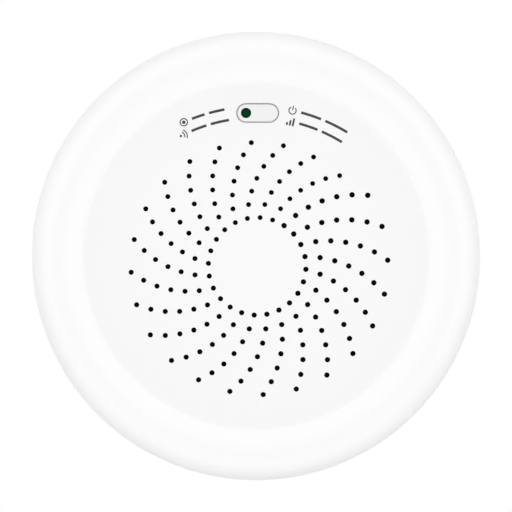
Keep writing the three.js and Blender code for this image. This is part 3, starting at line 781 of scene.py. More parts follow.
def cellJacket(direction, end, shoulder):
    # A printed jacket with one pale band near the raised end, and bare steel at both ends.
    finish = Finish("cell jacket", IOR=jacket["index"])
    x, y, z = finish.parts(finish.place)
    along = x * float(direction)
    raised = along > shoulder + jacket["shoulderLap"]
    bare = finish.larger(raised, along < jacket["crimp"] - end)
    collar = (along > shoulder - jacket["crimp"]) * (1 - bare)
    band = (along > jacket["bandFrom"]) * (along < jacket["bandTo"])
    stretched = finish.stretched(*jacket["scuffStretch"])
    rubbed = finish.noise(jacket["scuffScale"], detail=4, vector=stretched)
    scuff = finish.step(rubbed, jacket["scuffFrom"], jacket["scuffTo"])
    inked = finish.blend(band, jacket["colour"], jacket["band"])
    worn = finish.blend(jacket["scuffShare"] * scuff, inked, jacket["steel"])
    dark = finish.blend(collar, worn, jacket["insulator"])
    finish.feed("Base Color", finish.blend(bare, dark, jacket["steel"]))
    finish.feed("Metallic", finish.clamped(bare + jacket["sheen"] * (1 - collar)))
    finish.feed("Roughness", jacket["roughness"] + jacket["scuffRoughness"] * scuff)
    dents = finish.noise(jacket["dentScale"], detail=2)
    finish.bump(dents - jacket["bandSink"] * band, jacket["depth"])
    return finish


report("finishes are ready")


# Levels and places that the pieces share, taken from the imported model

shared = {
    "wall": 2.2,
    "fitGap": 0.3,
    "runningGap": 0.1,
    "sides": 192,
    "smallSides": 48,
    "rodSides": 32,
    "screwCount": 3,  # of the case, and again of the board
    "overrun": 1.0,  # by which a cut passes the faces that it goes through
    "flatMargin": 0.4,  # from a flat's edge to the loop that keeps it flat
}

coverLow, coverHigh = span("front_cover")
housingLow = span("rear_housing")[0]
screenLow, screenHigh = span("insect_screen")
buttonLow, buttonHigh = span("test_button")
pipeLow, pipeHigh = span("light_pipe")
doorHigh = span("battery_door")[1]
bracketLow = span("mounting_bracket")[0]
bodyRadius = coverHigh.x
crestY = coverLow.y
seamY = coverHigh.y
faceBackY = screenLow.y
faceY = faceBackY - shared["wall"]
windowX = (buttonLow.x + buttonHigh.x) / 2
windowZ = (buttonLow.z + buttonHigh.z) / 2
patternX = (screenLow.x + screenHigh.x) / 2
patternZ = (screenLow.z + screenHigh.z) / 2
pipeX = (pipeLow.x + pipeHigh.x) / 2
pipeRadius = (pipeHigh.z - pipeLow.z) / 2
recessRadius = bodyRadius - shared["wall"]
caseScrewLow, caseScrewHigh = span("case_screw_1")
caseScrewMiddle = (caseScrewLow + caseScrewHigh) / 2
caseScrewRadius = math.hypot(caseScrewMiddle.x, caseScrewMiddle.z)
firstCaseScrewAngle = math.degrees(math.atan2(caseScrewMiddle.z, caseScrewMiddle.x))


# Geometry node recipes

class Recipe(Graph):
    # A geometry node tree with named inputs, which turns a piece into a plain mesh.
    def __init__(self, name, floats=(), integers=()):
        tree = bpy.data.node_groups.new(name, "GeometryNodeTree")
        super().__init__(tree)
        self.identifiers = {}
        self.addInput("Geometry", "Geometry")
        for label in integers:
            self.addInput(label, "Int")
        for label in floats:
            self.addInput(label, "Float")
        self.addInput("Material", "Material")
        tree.interface.new_socket("Geometry", in_out="OUTPUT", socket_type="NodeSocketGeometry")
        self.entry = tree.nodes.new("NodeGroupInput")
        self.exit = tree.nodes.new("NodeGroupOutput")

    def addInput(self, label, kind):
        socket = self.tree.interface.new_socket(
            label, in_out="INPUT", socket_type="NodeSocket" + kind
        )
        self.identifiers[label] = socket.identifier

    def value(self, label):
        return Wire(self, self.entry.outputs[label])

    def values(self, *labels):
        return [self.value(label) for label in labels]

    def cylinder(self, radius, depth, sides):
        sockets = {"Vertices": sides, "Radius": radius, "Depth": depth}
        return self.node("GeometryNodeMeshCylinder", sockets=sockets)

    def cone(self, top, bottom, depth, sides):
        sockets = {"Vertices": sides, "Radius Top": top, "Radius Bottom": bottom, "Depth": depth}
        return self.node("GeometryNodeMeshCone", sockets=sockets)

    def slab(self, x, y, z):
        return self.node("GeometryNodeMeshCube", sockets={"Size": self.point(x, y, z)})

    def moved(self, geometry, x=0.0, y=0.0, z=0.0):
        sockets = {"Geometry": geometry, "Translation": self.point(x, y, z)}
        return self.node("GeometryNodeTransform", sockets=sockets)

    def boolean(self, operation, first, *others):
        settings = {"operation": operation, "solver": "MANIFOLD"}
        sockets = {"Mesh 1": first, "Mesh 2": list(others)}
        if operation == "UNION":
            sockets = {"Mesh 2": [first, *others]}
        return self.node("GeometryNodeMeshBoolean", settings, sockets)

    def spiral(self, steps, turns, radius, height, reverse=False):
        # A helix of constant radius, given its steps in each turn.
        return self.node(
            "GeometryNodeCurveSpiral",
            sockets={
                "Resolution": steps, "Rotations": turns, "Start Radius": radius,
                "End Radius": radius, "Height": height, "Reverse": reverse,
            },
        )

    def swept(self, path, sides, radius):
        # A tube along a curve, with closed ends.
        sockets = {"Resolution": sides, "Radius": radius}
        section = self.node("GeometryNodeCurvePrimitiveCircle", sockets=sockets)
        sockets = {"Curve": path, "Profile Curve": section, "Fill Caps": True}
        return self.node("GeometryNodeCurveToMesh", sockets=sockets)

    def realized(self, geometry):
        return self.node("GeometryNodeRealizeInstances", sockets={"Geometry": geometry})

    def joined(self, *geometries):
        return self.node("GeometryNodeJoinGeometry", sockets={"Geometry": list(geometries)})

    def scattered(self, count, place, instance, rotation, scale=(1.0, 1.0, 1.0)):
        # Copies of an instance at a place that is worked out from each one's number.
        points = self.node("GeometryNodeMeshLine", sockets={"Count": count})
        sockets = {"Geometry": points, "Position": place}
        placed = self.node("GeometryNodeSetPosition", sockets=sockets)
        sockets = {"Points": placed, "Instance": instance, "Rotation": rotation, "Scale": scale}
        return self.node("GeometryNodeInstanceOnPoints", sockets=sockets)

    def close(self, geometry):
        dressed = self.node(
            "GeometryNodeSetMaterial",
            sockets={"Geometry": self.realized(geometry), "Material": self.value("Material")},
        )
        self.tree.links.new(dressed.socket, self.exit.inputs["Geometry"])

    def cook(self, piece, finish, **sizes):
        cooking = piece.modifiers.new(self.tree.name, "NODES")
        cooking.node_group = self.tree
        for name, size in sizes.items():
            label = "".join(" " + sign.lower() if sign.isupper() else sign for sign in name)
            cooking[self.identifiers[label.capitalize()]] = size
        cooking[self.identifiers["Material"]] = finish.material
        settle(piece)
        return piece


def soundHoleRecipe():
    # Cuts the chamfered holes, in arms that bend round the face. The arms grow longer and their
    # holes wider one after the other.
    recipe = Recipe(
        "sound holes",
        floats=(
            "Hole radius", "Hole growth", "Chamfer", "Inner radius", "Outer radius", "Arm growth",
            "Bow", "Twist", "First angle", "Middle x", "Middle z", "Face y", "Wall",
        ),
        integers=("Arms", "Rings", "Hole sides"),
    )
    arms, ringCount, sides = recipe.values("Arms", "Rings", "Hole sides")
    radius, chamfer, wall = recipe.values("Hole radius", "Chamfer", "Wall")
    inner, outer, armGrowth = recipe.values("Inner radius", "Outer radius", "Arm growth")
    number = recipe.node("GeometryNodeInputIndex")
    arm = recipe.floor((number + 0.5) / ringCount)
    along = (number - arm * ringCount) / (ringCount - 1.0)
    bow = recipe.value("Bow") * along * (1 - along)
    grown = arm / (arms - 1.0)
    length = outer - inner - armGrowth * (1 - grown)
    reach = inner + length * (along + bow)
    turn = recipe.value("First angle") + arm * 2 * math.pi / arms
    angle = turn - recipe.value("Twist") * (along - bow)
    place = recipe.point(
        recipe.value("Middle x") + reach * recipe.cosine(angle),
        recipe.value("Face y"),
        recipe.value("Middle z") + reach * recipe.sine(angle),
    )
    bore = recipe.cylinder(radius, 2.5 * wall, sides)
    mouth = recipe.cone(radius + 2 * chamfer, radius, 2 * chamfer, sides)
    mouth = recipe.moved(mouth, z=-chamfer)
    toFront = (math.radians(90), 0.0, 0.0)
    wider = 1 + recipe.value("Hole growth") * grown
    scale = recipe.point(wider, wider, 1.0)
    cutters = [
        recipe.realized(recipe.scattered(arms * ringCount, place, tool, toFront, scale))
        for tool in (bore, mouth)
    ]
    recipe.close(recipe.boolean("DIFFERENCE", recipe.value("Geometry"), *cutters))
    return recipe


screwForm = {
    "rimShare": 0.55,  # of the head's height
    "crownShare": 0.72,  # of the head's radius
    "crossShare": 1.1,
    "threadShare": 0.8,  # of the shank's length
    "threadEnd": 0.95,
    "threadSink": 0.3,  # of the thread's depth
    "threadWidth": 0.7,
    "helixSteps": 20,
}


def screwRecipe():
    # Pan-head screws with a cross recess and a rolled thread, evenly spaced on a ring.
    # Each stands on its seat, and its head turns by its own amount.
    recipe = Recipe(
        "screw set",
        floats=(
            "Ring radius", "First angle", "Seat y", "Head radius", "Head height", "Shank radius",
            "Shank length", "Thread pitch", "Thread depth", "Recess width", "Recess depth", "Tilt",
        ),
        integers=("Count", "Sides", "Seed"),
    )
    count, sides = recipe.values("Count", "Sides")
    headRadius, headHeight = recipe.values("Head radius", "Head height")
    shankRadius, shankLength = recipe.values("Shank radius", "Shank length")
    pitch, depth = recipe.values("Thread pitch", "Thread depth")
    rimHeight = headHeight * screwForm["rimShare"]
    crownHeight = headHeight - rimHeight
    rim = recipe.moved(recipe.cylinder(headRadius, rimHeight, sides), z=rimHeight / 2)
    crown = recipe.cone(headRadius * screwForm["crownShare"], headRadius, crownHeight, sides)
    crown = recipe.moved(crown, z=rimHeight)
    core = shankRadius - depth
    shank = recipe.cylinder(core, shankLength, sides)
    shank = recipe.moved(shank, z=-shankLength / 2 + rimHeight / 4)
    solid = recipe.boolean("UNION", rim, crown, shank)
    width, recessDepth = recipe.values("Recess width", "Recess depth")
    length = headRadius * screwForm["crossShare"]
    slots = [
        recipe.moved(recipe.slab(x, y, recessDepth * 2), z=headHeight)
        for x, y in ((length, width), (width, length))
    ]
    head = recipe.boolean("DIFFERENCE", solid, *slots)
    threadLength = shankLength * screwForm["threadShare"]
    threadRadius = core + depth * screwForm["threadSink"]
    helix = recipe.spiral(
        screwForm["helixSteps"], threadLength / pitch, threadRadius, threadLength
    )
    thread = recipe.swept(helix, 3, depth * screwForm["threadWidth"])
    thread = recipe.moved(thread, z=-shankLength * screwForm["threadEnd"])
    number = recipe.node("GeometryNodeInputIndex")
    angle = recipe.value("First angle") + number * 2 * math.pi / count
    ring = recipe.value("Ring radius")
    place = recipe.point(
        ring * recipe.cosine(angle), recipe.value("Seat y"), ring * recipe.sine(angle)
    )
    spin = recipe.node(
        "FunctionNodeRandomValue",
        {"data_type": "FLOAT"},
        {2: 0.0, 3: math.pi, "Seed": recipe.value("Seed")},
        output=1,
    )
    rotation = recipe.point(recipe.value("Tilt"), spin, 0.0)
    recipe.close(recipe.scattered(count, place, recipe.joined(head, thread), rotation))
    return recipe


windingForm = {
    "turnPitch": 2.1,  # in radii of the wire
    "layerStep": 1.8,
    "helixSteps": 28,
    "wireSides": 6,
}


def windingRecipe(layers):
    # Layers of wire wound on a bobbin, each one turn after another, every second one back.
    recipe = Recipe(
        "winding",
        floats=("Core radius", "Wire radius", "Length", "Middle x", "Middle z", "Start y"),
    )
    core, wireRadius, length = recipe.values("Core radius", "Wire radius", "Length")
    turns = recipe.floor(length / (windingForm["turnPitch"] * wireRadius))
    height = length - 2 * wireRadius
    windings = []
    for layer in range(layers):
        radius = core + wireRadius * (1 + windingForm["layerStep"] * layer)
        helix = recipe.spiral(windingForm["helixSteps"], turns, radius, height, layer % 2 == 1)
        windings.append(recipe.swept(helix, windingForm["wireSides"], wireRadius))
    wound = recipe.moved(recipe.joined(*windings), z=wireRadius)
    place = recipe.point(*recipe.values("Middle x", "Start y", "Middle z"))
    recipe.close(recipe.scattered(1, place, wound, (math.radians(90), 0.0, 0.0)))
    return recipe


def seedMesh(name):
    # An object for a recipe to fill.
    made = bpy.data.objects.new(name, bpy.data.meshes.new(name))
    scene.collection.objects.link(made)
    return made


# Front cover

cover = {
    "outerRun": 6.1,
    "outerDrop": 7.5,
    "innerRun": 5.75,
    "footRun": 0.7,
    "slope": 40.5,
    "seamChamfer": 0.3,
    "windowLength": 10.1,
    "windowHeight": 4.55,
    "windowRound": 0.25,
    "collarWall": 1.0,
    "collarDepth": 3.0,
    "collarRound": 0.2,
    "postRadius": 2.8,
    "pilotRadius": 1.4,
    "pilotDepth": 7.0,
    "pilotFlare": 0.3,
}

soundHoles = {
    "arms": 24,
    "rings": 7,
    "holeSides": 18,
    "holeRadius": 0.6,  # in the shortest arm
    "holeGrowth": 0.117,  # how much wider the holes of the longest arm are
    "chamfer": 0.06,
    "innerRadius": 11.63,
    "screenMargin": 1.0,
    "armGrowth": 2.1,
    "bow": 0.1,
    "twist": 23.8,
    "firstAngle": 71.5,
}


def coverSkin(depth, steps):
    # The cover's section from its flat face to the seam, at a depth under the outside.
    crestRadius = bodyRadius - cover["outerRun"]
    faceRadius = crestRadius - cover["innerRun"] - cover["footRun"]
    slope = cover["slope"]
    convex = cover["innerRun"] / math.sin(math.radians(slope)) - depth
    concave = cover["footRun"] / math.sin(math.radians(slope)) + depth
    level = faceY + depth
    foot = arc(faceRadius, level - concave, concave, concave, 90, 90 - slope, steps // 2)
    rise = arc(crestRadius, crestY + depth + convex, convex, convex, -90 - slope, -90, steps)
    reach = cover["outerRun"] - depth
    drop = cover["outerDrop"]
    fall = arc(crestRadius, crestY + drop, reach, drop - depth, -90, 0, steps + steps // 2)
    flatEdge = (faceRadius - shared["flatMargin"], level)
    return [flatEdge, *foot, *rise[1:], *fall[1:]]


def buildCover():
    chamfer = cover["seamChamfer"]
    outside = coverSkin(0.0, 20)
    inside = coverSkin(shared["wall"], 6)
    profile = [
        *outside,
        (bodyRadius, seamY - chamfer - shared["flatMargin"]),
        (bodyRadius, seamY - chamfer),
        (bodyRadius - chamfer, seamY),
        (recessRadius, seamY),
        *reversed(inside),
    ]
    shell = lathe("cover_shell", profile, shared["sides"])
    collarBackY = faceBackY + cover["collarDepth"]
    length = cover["windowLength"]
    height = cover["windowHeight"]
    wider = 2 * cover["collarWall"]
    collar = capsule(length + wider, height + wider, windowX, windowZ)
    levels = roundedLevels(collarBackY, faceBackY - shared["wall"] / 2, cover["collarRound"])
    adds = [loft("collar", collar, levels)]
    window = capsule(length, height, windowX, windowZ, steps=24)
    edge = cover["windowRound"]
    mouth = [(faceY + edge - y, edge - x) for x, y in arc(0, 0, edge, edge, 0, 90, 5)]
    frontY = faceY - shared["overrun"]
    cuts = [loft("window", window, [(collarBackY + shared["overrun"], 0), *mouth, (frontY, edge)])]
    flare = cover["pilotFlare"]
    deepY = seamY - cover["pilotDepth"]
    levels = [(seamY + shared["overrun"], flare), (seamY - flare, 0), (deepY, 0)]
    for angle, x, z in rings(shared["screwCount"], firstCaseScrewAngle, caseScrewRadius):
        post = disc(cover["postRadius"], x, z)
        adds.append(loft("post", post, [(seamY, 0), (crestY + shared["wall"] / 2, 0)]))
        cuts.append(loft("pilot", disc(cover["pilotRadius"], x, z), levels))
    carved(shell, adds, cuts)
    finish = mouldedPlastic("cover")
    holes = soundHoles
    soundHoleRecipe().cook(
        shell, finish,
        arms=holes["arms"],
        rings=holes["rings"],
        holeSides=holes["holeSides"],
        holeRadius=holes["holeRadius"] * mm,
        holeGrowth=holes["holeGrowth"],
        chamfer=holes["chamfer"] * mm,
        innerRadius=holes["innerRadius"] * mm,
        outerRadius=((screenHigh.x - screenLow.x) / 2 - holes["screenMargin"]) * mm,
        armGrowth=holes["armGrowth"] * mm,
        bow=holes["bow"],
        twist=math.radians(holes["twist"]),
        firstAngle=math.radians(holes["firstAngle"]),
        middleX=patternX * mm,
        middleZ=patternZ * mm,
        faceY=faceY * mm,
        wall=shared["wall"] * mm,
    )
    return dress(shell, finish, "detector", "cover_white", "front_cover")


buildCover()
report("front cover")


# Test button and its light

button = {
    "fitGap": 0.3,
    "edgeRound": 0.25,
    "shoulderDepth": 0.5,
    "shoulderGap": 0.08,
    "shoulderBevel": 0.1,
    "flangeReach": 0.9,
    "flangeWall": 1.0,
    "flangeRound": 0.2,
    "flangeLap": 0.01,
    "stemRadius": 1.6,
    "stemOffset": 2.6,
    "stemBevel": 0.2,
    "stemRoot": 0.5,
    "boreGap": 0.05,
    "boreBevel": 0.08,
    "pipeDome": 0.3,
    "pipeBevel": 0.15,
}


def buildButton():
    stemBackY = span("switch_plunger")[0].y
    frontY = buttonLow.y
    flangeFrontY = faceBackY + cover["collarDepth"] + shared["runningGap"]
    flangeBackY = flangeFrontY + button["flangeWall"]
    length = cover["windowLength"] - 2 * button["fitGap"]
    height = cover["windowHeight"] - 2 * button["fitGap"]
    reach = 2 * button["flangeReach"]
    cap = capsule(length, height, windowX, windowZ, steps=24)
    shoulder = button["fitGap"] - button["shoulderGap"]
    shoulderY = faceY + button["shoulderDepth"]
    bevel = button["shoulderBevel"]
    levels = [
        (flangeBackY, shoulder), (shoulderY + bevel, shoulder), (shoulderY, shoulder - bevel),
        *roundedLevels(shoulderY, frontY, 0, button["edgeRound"], 5),
    ]
    body = loft("test_key", cap, levels)
    flange = capsule(length + reach, height + reach, windowX, windowZ)
    stem = disc(button["stemRadius"], windowX + button["stemOffset"], windowZ)
    bore = disc(pipeRadius + button["boreGap"], pipeX, windowZ, shared["smallSides"])
    soft = button["flangeRound"]
    flangeLevels = roundedLevels(flangeBackY - button["flangeLap"], flangeFrontY, soft, soft)
    bevel = button["stemBevel"]
    stemLevels = [
        (stemBackY, -bevel), (stemBackY - bevel, 0), (flangeBackY - button["stemRoot"], 0),
    ]
    bevel = button["boreBevel"]
    boreLevels = [
        (flangeBackY + shared["overrun"], 0), (frontY + bevel, 0), (frontY, bevel),
        (frontY - shared["overrun"], bevel),
    ]
    adds = [loft("flange", flange, flangeLevels), loft("stem", stem, stemLevels)]
    carved(body, adds, cuts=[loft("bore", bore, boreLevels)])
    dress(body, mouldedPlastic("button"), "test_button", "button_white", "test_button")


def buildLightPipe():
    frontY = pipeLow.y
    dome = button["pipeDome"]
    bevel = button["pipeBevel"]
    profile = [(pipeRadius - bevel, pipeHigh.y), (pipeRadius, pipeHigh.y - bevel)]
    for radius, rise in arc(0, 0, pipeRadius, dome, 0, 84, 10):
        profile.append((radius, frontY + dome - rise))
    pipe = lathe("light_lens", profile, shared["smallSides"], (pipeX, 0, windowZ))
    centre = (pipeX, frontY, windowZ)
    dress(pipe, tintedLens(centre, pipeRadius), "test_button", "green_lens", "light_pipe")


buildButton()
buildLightPipe()
report("test button")


# Printed signs, where the face has its legends: a small sign and two bars on each line

signs = {
    "proud": 0.02,
    "sink": 0.1,
    "radius": 1.0,
    "stroke": 0.26,
    "barHeight": 0.62,
    "barGap": 1.1,
    "firstBarShare": 0.46,
    "cornerShare": 0.2,
    "pressDot": 0.42,
    "powerStem": (0.1, 1.1),
    "powerArc": (128, 412),
    "waveDot": 0.3,
    "waveDotShift": 0.7,
    "waveRadii": (1.15, 1.75),
    "waveHalfAngle": 42,
    "waveShift": 0.8,
    "levelStep": 0.72,
    "levelWidth": 1.7,
    "levelLow": 0.7,
    "levelRise": 0.6,
    "middleZ": -6.0,  # of the arcs that the lines follow
    "upperRadius": 41.55,
    "lowerRadius": 38.9,
}

signLines = [
    {"kind": "press", "radius": "upperRadius", "from": 115.8, "to": 100.4},
    {"kind": "waves", "radius": "lowerRadius", "from": 117.8, "to": 99.5},
    {"kind": "power", "radius": "upperRadius", "from": 79.3, "to": 58.5},
    {"kind": "levels", "radius": "lowerRadius", "from": 79.2, "to": 58.3},
]


def signShapes(kind):
    # The closed outlines of one sign round its own middle, with its top towards +Z.
    size = signs["radius"]
    stroke = signs["stroke"]
    corner = stroke * signs["cornerShare"]
    if kind == "press":
        halves = [sector(size - stroke, size, turn, turn + 180)(0) for turn in (0, 180)]
        return [*halves, disc(size * signs["pressDot"], sides=24)(0)]
    if kind == "power":
        low, high = signs["powerStem"]
        stem = rectangle(-stroke / 2, stroke / 2, size * low, size * high, corner)(0)
        return [sector(size - stroke, size, *signs["powerArc"])(0), stem]
    if kind == "waves":
        half = signs["waveHalfAngle"]
        shapes = [disc(size * signs["waveDot"], x=-size * signs["waveDotShift"], sides=20)(0)]
        for share in signs["waveRadii"]:
            ring = sector(size * share - stroke, size * share, -half, half)(0)
            shapes.append([(x - size * signs["waveShift"], z) for x, z in ring])
        return shapes
    shapes = []
    for step in range(3):
        left = -size + step * size * signs["levelStep"]
        right = left + stroke * signs["levelWidth"]
        top = -size + size * (signs["levelLow"] + signs["levelRise"] * step)
        shapes.append(rectangle(left, right, -size, top, corner)(0))
    return shapes


def buildSigns():
    shapes = []
    for line in signLines:
        radius = signs[line["radius"]]
        size = signs["radius"]
        middle = line["from"] - math.degrees(size / radius)
        turn = math.radians(middle)
        for outline in signShapes(line["kind"]):
            shapes.append([
                (
                    (radius + z) * math.cos(turn) + x * math.sin(turn),
                    (radius + z) * math.sin(turn) - x * math.cos(turn),
                )
                for x, z in outline
            ])
        gap = math.degrees(signs["barGap"] / radius)
        start = line["from"] - math.degrees(2 * size / radius) - gap
        room = start - line["to"] - gap
        first = room * signs["firstBarShare"]
        half = signs["barHeight"] / 2
        for high, low in ((start, start - first), (start - first - gap, line["to"])):
            shapes.append(sector(radius - half, radius + half, low, high, 16)(0))
    vertices = []
    faces = []
    for shape in shapes:
        count = len(shape)
        base = len(vertices)
        for y in (faceY + signs["sink"], faceY - signs["proud"]):
            vertices += [(x, y, z + signs["middleZ"]) for x, z in shape]
        faces += [list(range(base, base + count)), list(range(base + count, base + 2 * count))]
        for side in range(count):
            here = base + side
            there = base + (side + 1) % count
            faces.append([here, there, there + count, here + count])
    made = meshPiece("printed_signs", vertices, faces)
    dress(made, mouldedPlastic("print"), "detector", "black_parts")


buildSigns()
report("printed signs")


# Rear housing

housing = {
    "plateWall": 2.0,
    "plateRound": 1.0,
    "skirtGap": 0.9,
    "skirtTaper": 0.6,
    "skirtRound": 1.0,
    "lipWall": 0.8,
    "lipDepth": 2.5,
    "seamChamfer": 0.3,
    "bayWall": 1.5,
    "bayCorner": 0.8,
    "bayRound": 0.3,
    "tubCorner": 1.6,
    "tubRound": 0.5,
    "openingCorner": 0.6,
    "pocketCorner": 0.5,
    "doorSeat": 0.9,
    "doorWall": 1.6,
    "earWall": 2.2,
    "earReach": 0.9,
    "barrelRadius": 1.5,
    "trunnionRadius": 0.9,
    "trunnionLength": 1.8,
    "pivotBevel": 0.05,
    "caseBossRadius": 4.2,
    "caseHeadRadius": 2.8,
    "caseHeadHeight": 1.6,
    "caseHeadFlare": 0.25,
    "caseShankRadius": 1.3,
    "standoffRadius": 2.6,
    "pilotRadius": 1.1,
    "lugCount": 3,
    "lugWidth": 14.0,
    "firstLugAngle": 90.0,
    "ledgeWall": 1.2,
    "ledgeReach": 4.6,
    "ledgeRoot": 0.6,
    "ledgeRound": 0.2,
    "ledgeLap": 0.02,
    "stopLap": 0.6,
    "stopWidth": 2.5,
    "stopGap": 0.5,
    "edgeRound": 0.25,
    "thumbWidth": 11.6,
    "thumbReach": 3.3,
    "thumbDepth": 1.1,
    "thumbCorner": 1.2,
    "tabWidth": 3.0,
    "tabWall": 0.5,
    "tabCorner": 0.1,
}

boardLow, boardHigh = span("circuit_board")
cellLow, cellHigh = span("battery_1")
plateBackY = doorHigh.y
plateFrontY = plateBackY - housing["plateWall"]
bayFrontY = housingLow.y
bayFloorY = bayFrontY + housing["bayWall"]
bayHalfX = doorHigh.x - housing["trunnionLength"] - housing["doorSeat"]
bayHalfZ = (doorHigh.z - housing["barrelRadius"]) - housing["barrelRadius"] - shared["fitGap"]
hingeY = plateBackY - housing["barrelRadius"]
hingeZ = doorHigh.z - housing["barrelRadius"]
boardScrewLow, boardScrewHigh = span("board_screw_1")
boardScrewMiddle = (boardScrewLow + boardScrewHigh) / 2
boardScrewRadius = math.hypot(boardScrewMiddle.x, boardScrewMiddle.z)
firstBoardScrewAngle = math.degrees(math.atan2(boardScrewMiddle.z, boardScrewMiddle.x))
openingHalfX = doorHigh.x - housing["trunnionLength"]
openingHalfZ = bayHalfZ + housing["doorSeat"]
doorHalfX = openingHalfX - shared["fitGap"]
doorHalfZ = openingHalfZ - shared["fitGap"]
doorFrontY = plateBackY - housing["doorWall"]
contactBoardY = boardLow.y
pocketTopZ = hingeZ + housing["barrelRadius"] + shared["fitGap"]
caseHeadSeatY = plateBackY - housing["caseHeadHeight"] - shared["runningGap"]


def block(name, lowX, highX, frontY, backY, lowZ, highZ, corner, backRound=0.0, frontRound=0.0):
    outline = rectangle(lowX, highX, lowZ, highZ, corner)
    return loft(name, outline, roundedLevels(backY, frontY, backRound, frontRound))


def crossRod(name, radius, halfLength, y, z, bevel):
    profile = [
        (radius - bevel, -halfLength), (radius, bevel - halfLength),
        (radius, halfLength - bevel), (radius - bevel, halfLength),
    ]
    return lathe(name, profile, shared["rodSides"], (0, y, z), axis="X")


def rod(name, x, z, radius, backY, frontY, flare=0.0):
    # A rod along Y; a flare widens the back end of one that cuts a hole.
    levels = [(backY, flare)]
    if flare:
        levels += [(plateBackY, flare), (plateBackY - flare, 0)]
    return loft(name, disc(radius, x, z, shared["rodSides"]), [*levels, (frontY, 0)])


def housingProfile():
    chamfer = housing["seamChamfer"]
    edge = housing["edgeRound"]
    skirt = housing["skirtRound"]
    backRadius = bodyRadius - housing["skirtTaper"]
    lipOuter = recessRadius - shared["fitGap"]
    lipInner = lipOuter - housing["lipWall"]
    lipY = seamY - housing["lipDepth"]
    plate = housing["plateRound"]
    return [
        *arc(recessRadius - plate, plateFrontY - plate, plate, plate, 90, 0, 4),
        (recessRadius, seamY + shared["wall"]),
        (lipInner, seamY + housing["lipWall"]),
        (lipInner, lipY),
        (lipOuter - edge, lipY),
        (lipOuter, lipY + edge),
        (lipOuter, seamY),
        (bodyRadius - chamfer, seamY),
        (bodyRadius, seamY + chamfer),
        (bodyRadius, seamY + chamfer + shared["flatMargin"]),
        *arc(backRadius - skirt, -housing["skirtGap"] - skirt, skirt, skirt, 0, 90, 8),
        (recessRadius + edge, -housing["skirtGap"]),
        (recessRadius, -housing["skirtGap"] - edge),
        (recessRadius, plateBackY),
        (recessRadius - shared["flatMargin"], plateBackY),
    ]


def ledgeSolids():
    # The ledges that catch behind the bracket's lugs, each with the rib that stops its turn.
    solids = []
    inner = recessRadius - housing["ledgeReach"]
    rim = recessRadius + housing["ledgeRoot"]
    backY = -housing["skirtGap"]
    ledgeFrontY = backY - housing["ledgeWall"]
    soft = housing["ledgeRound"]
    ledgeLevels = roundedLevels(backY - housing["ledgeLap"], ledgeFrontY, soft, soft)
    stopLevels = [(ledgeFrontY + housing["stopLap"], 0), (plateBackY - shared["overrun"], 0)]
    half = housing["lugWidth"] / 2
    for angle, x, z in rings(housing["lugCount"], housing["firstLugAngle"], 1):
        stopFrom = angle + half + housing["stopGap"]
        stopTo = stopFrom + housing["stopWidth"]
        ledge = sector(inner, rim, angle - half, stopTo + housing["stopGap"], 16)
        stop = sector(inner + shared["fitGap"], rim, stopFrom, stopTo, 6)
        solids.append(loft("ledge", ledge, ledgeLevels))
        solids.append(loft("stop", stop, stopLevels))
    return solids


def contactSlots():
    backY = contactBoardY + shared["runningGap"]
    frontY = contactBoardY - housing["tabWall"] - shared["runningGap"]
    half = housing["tabWidth"] / 2 + shared["runningGap"]
    inner = bayHalfX - shared["overrun"]
    outer = bayHalfX + housing["bayWall"] + shared["overrun"]
    cellZ = (cellLow.z + cellHigh.z) / 2
    return [
        block("tab slot", low, high, frontY, backY, z - half, z + half, housing["tabCorner"])
        for low, high, z in ((-outer, -inner, 0), (inner, outer, cellZ), (inner, outer, -cellZ))
    ]


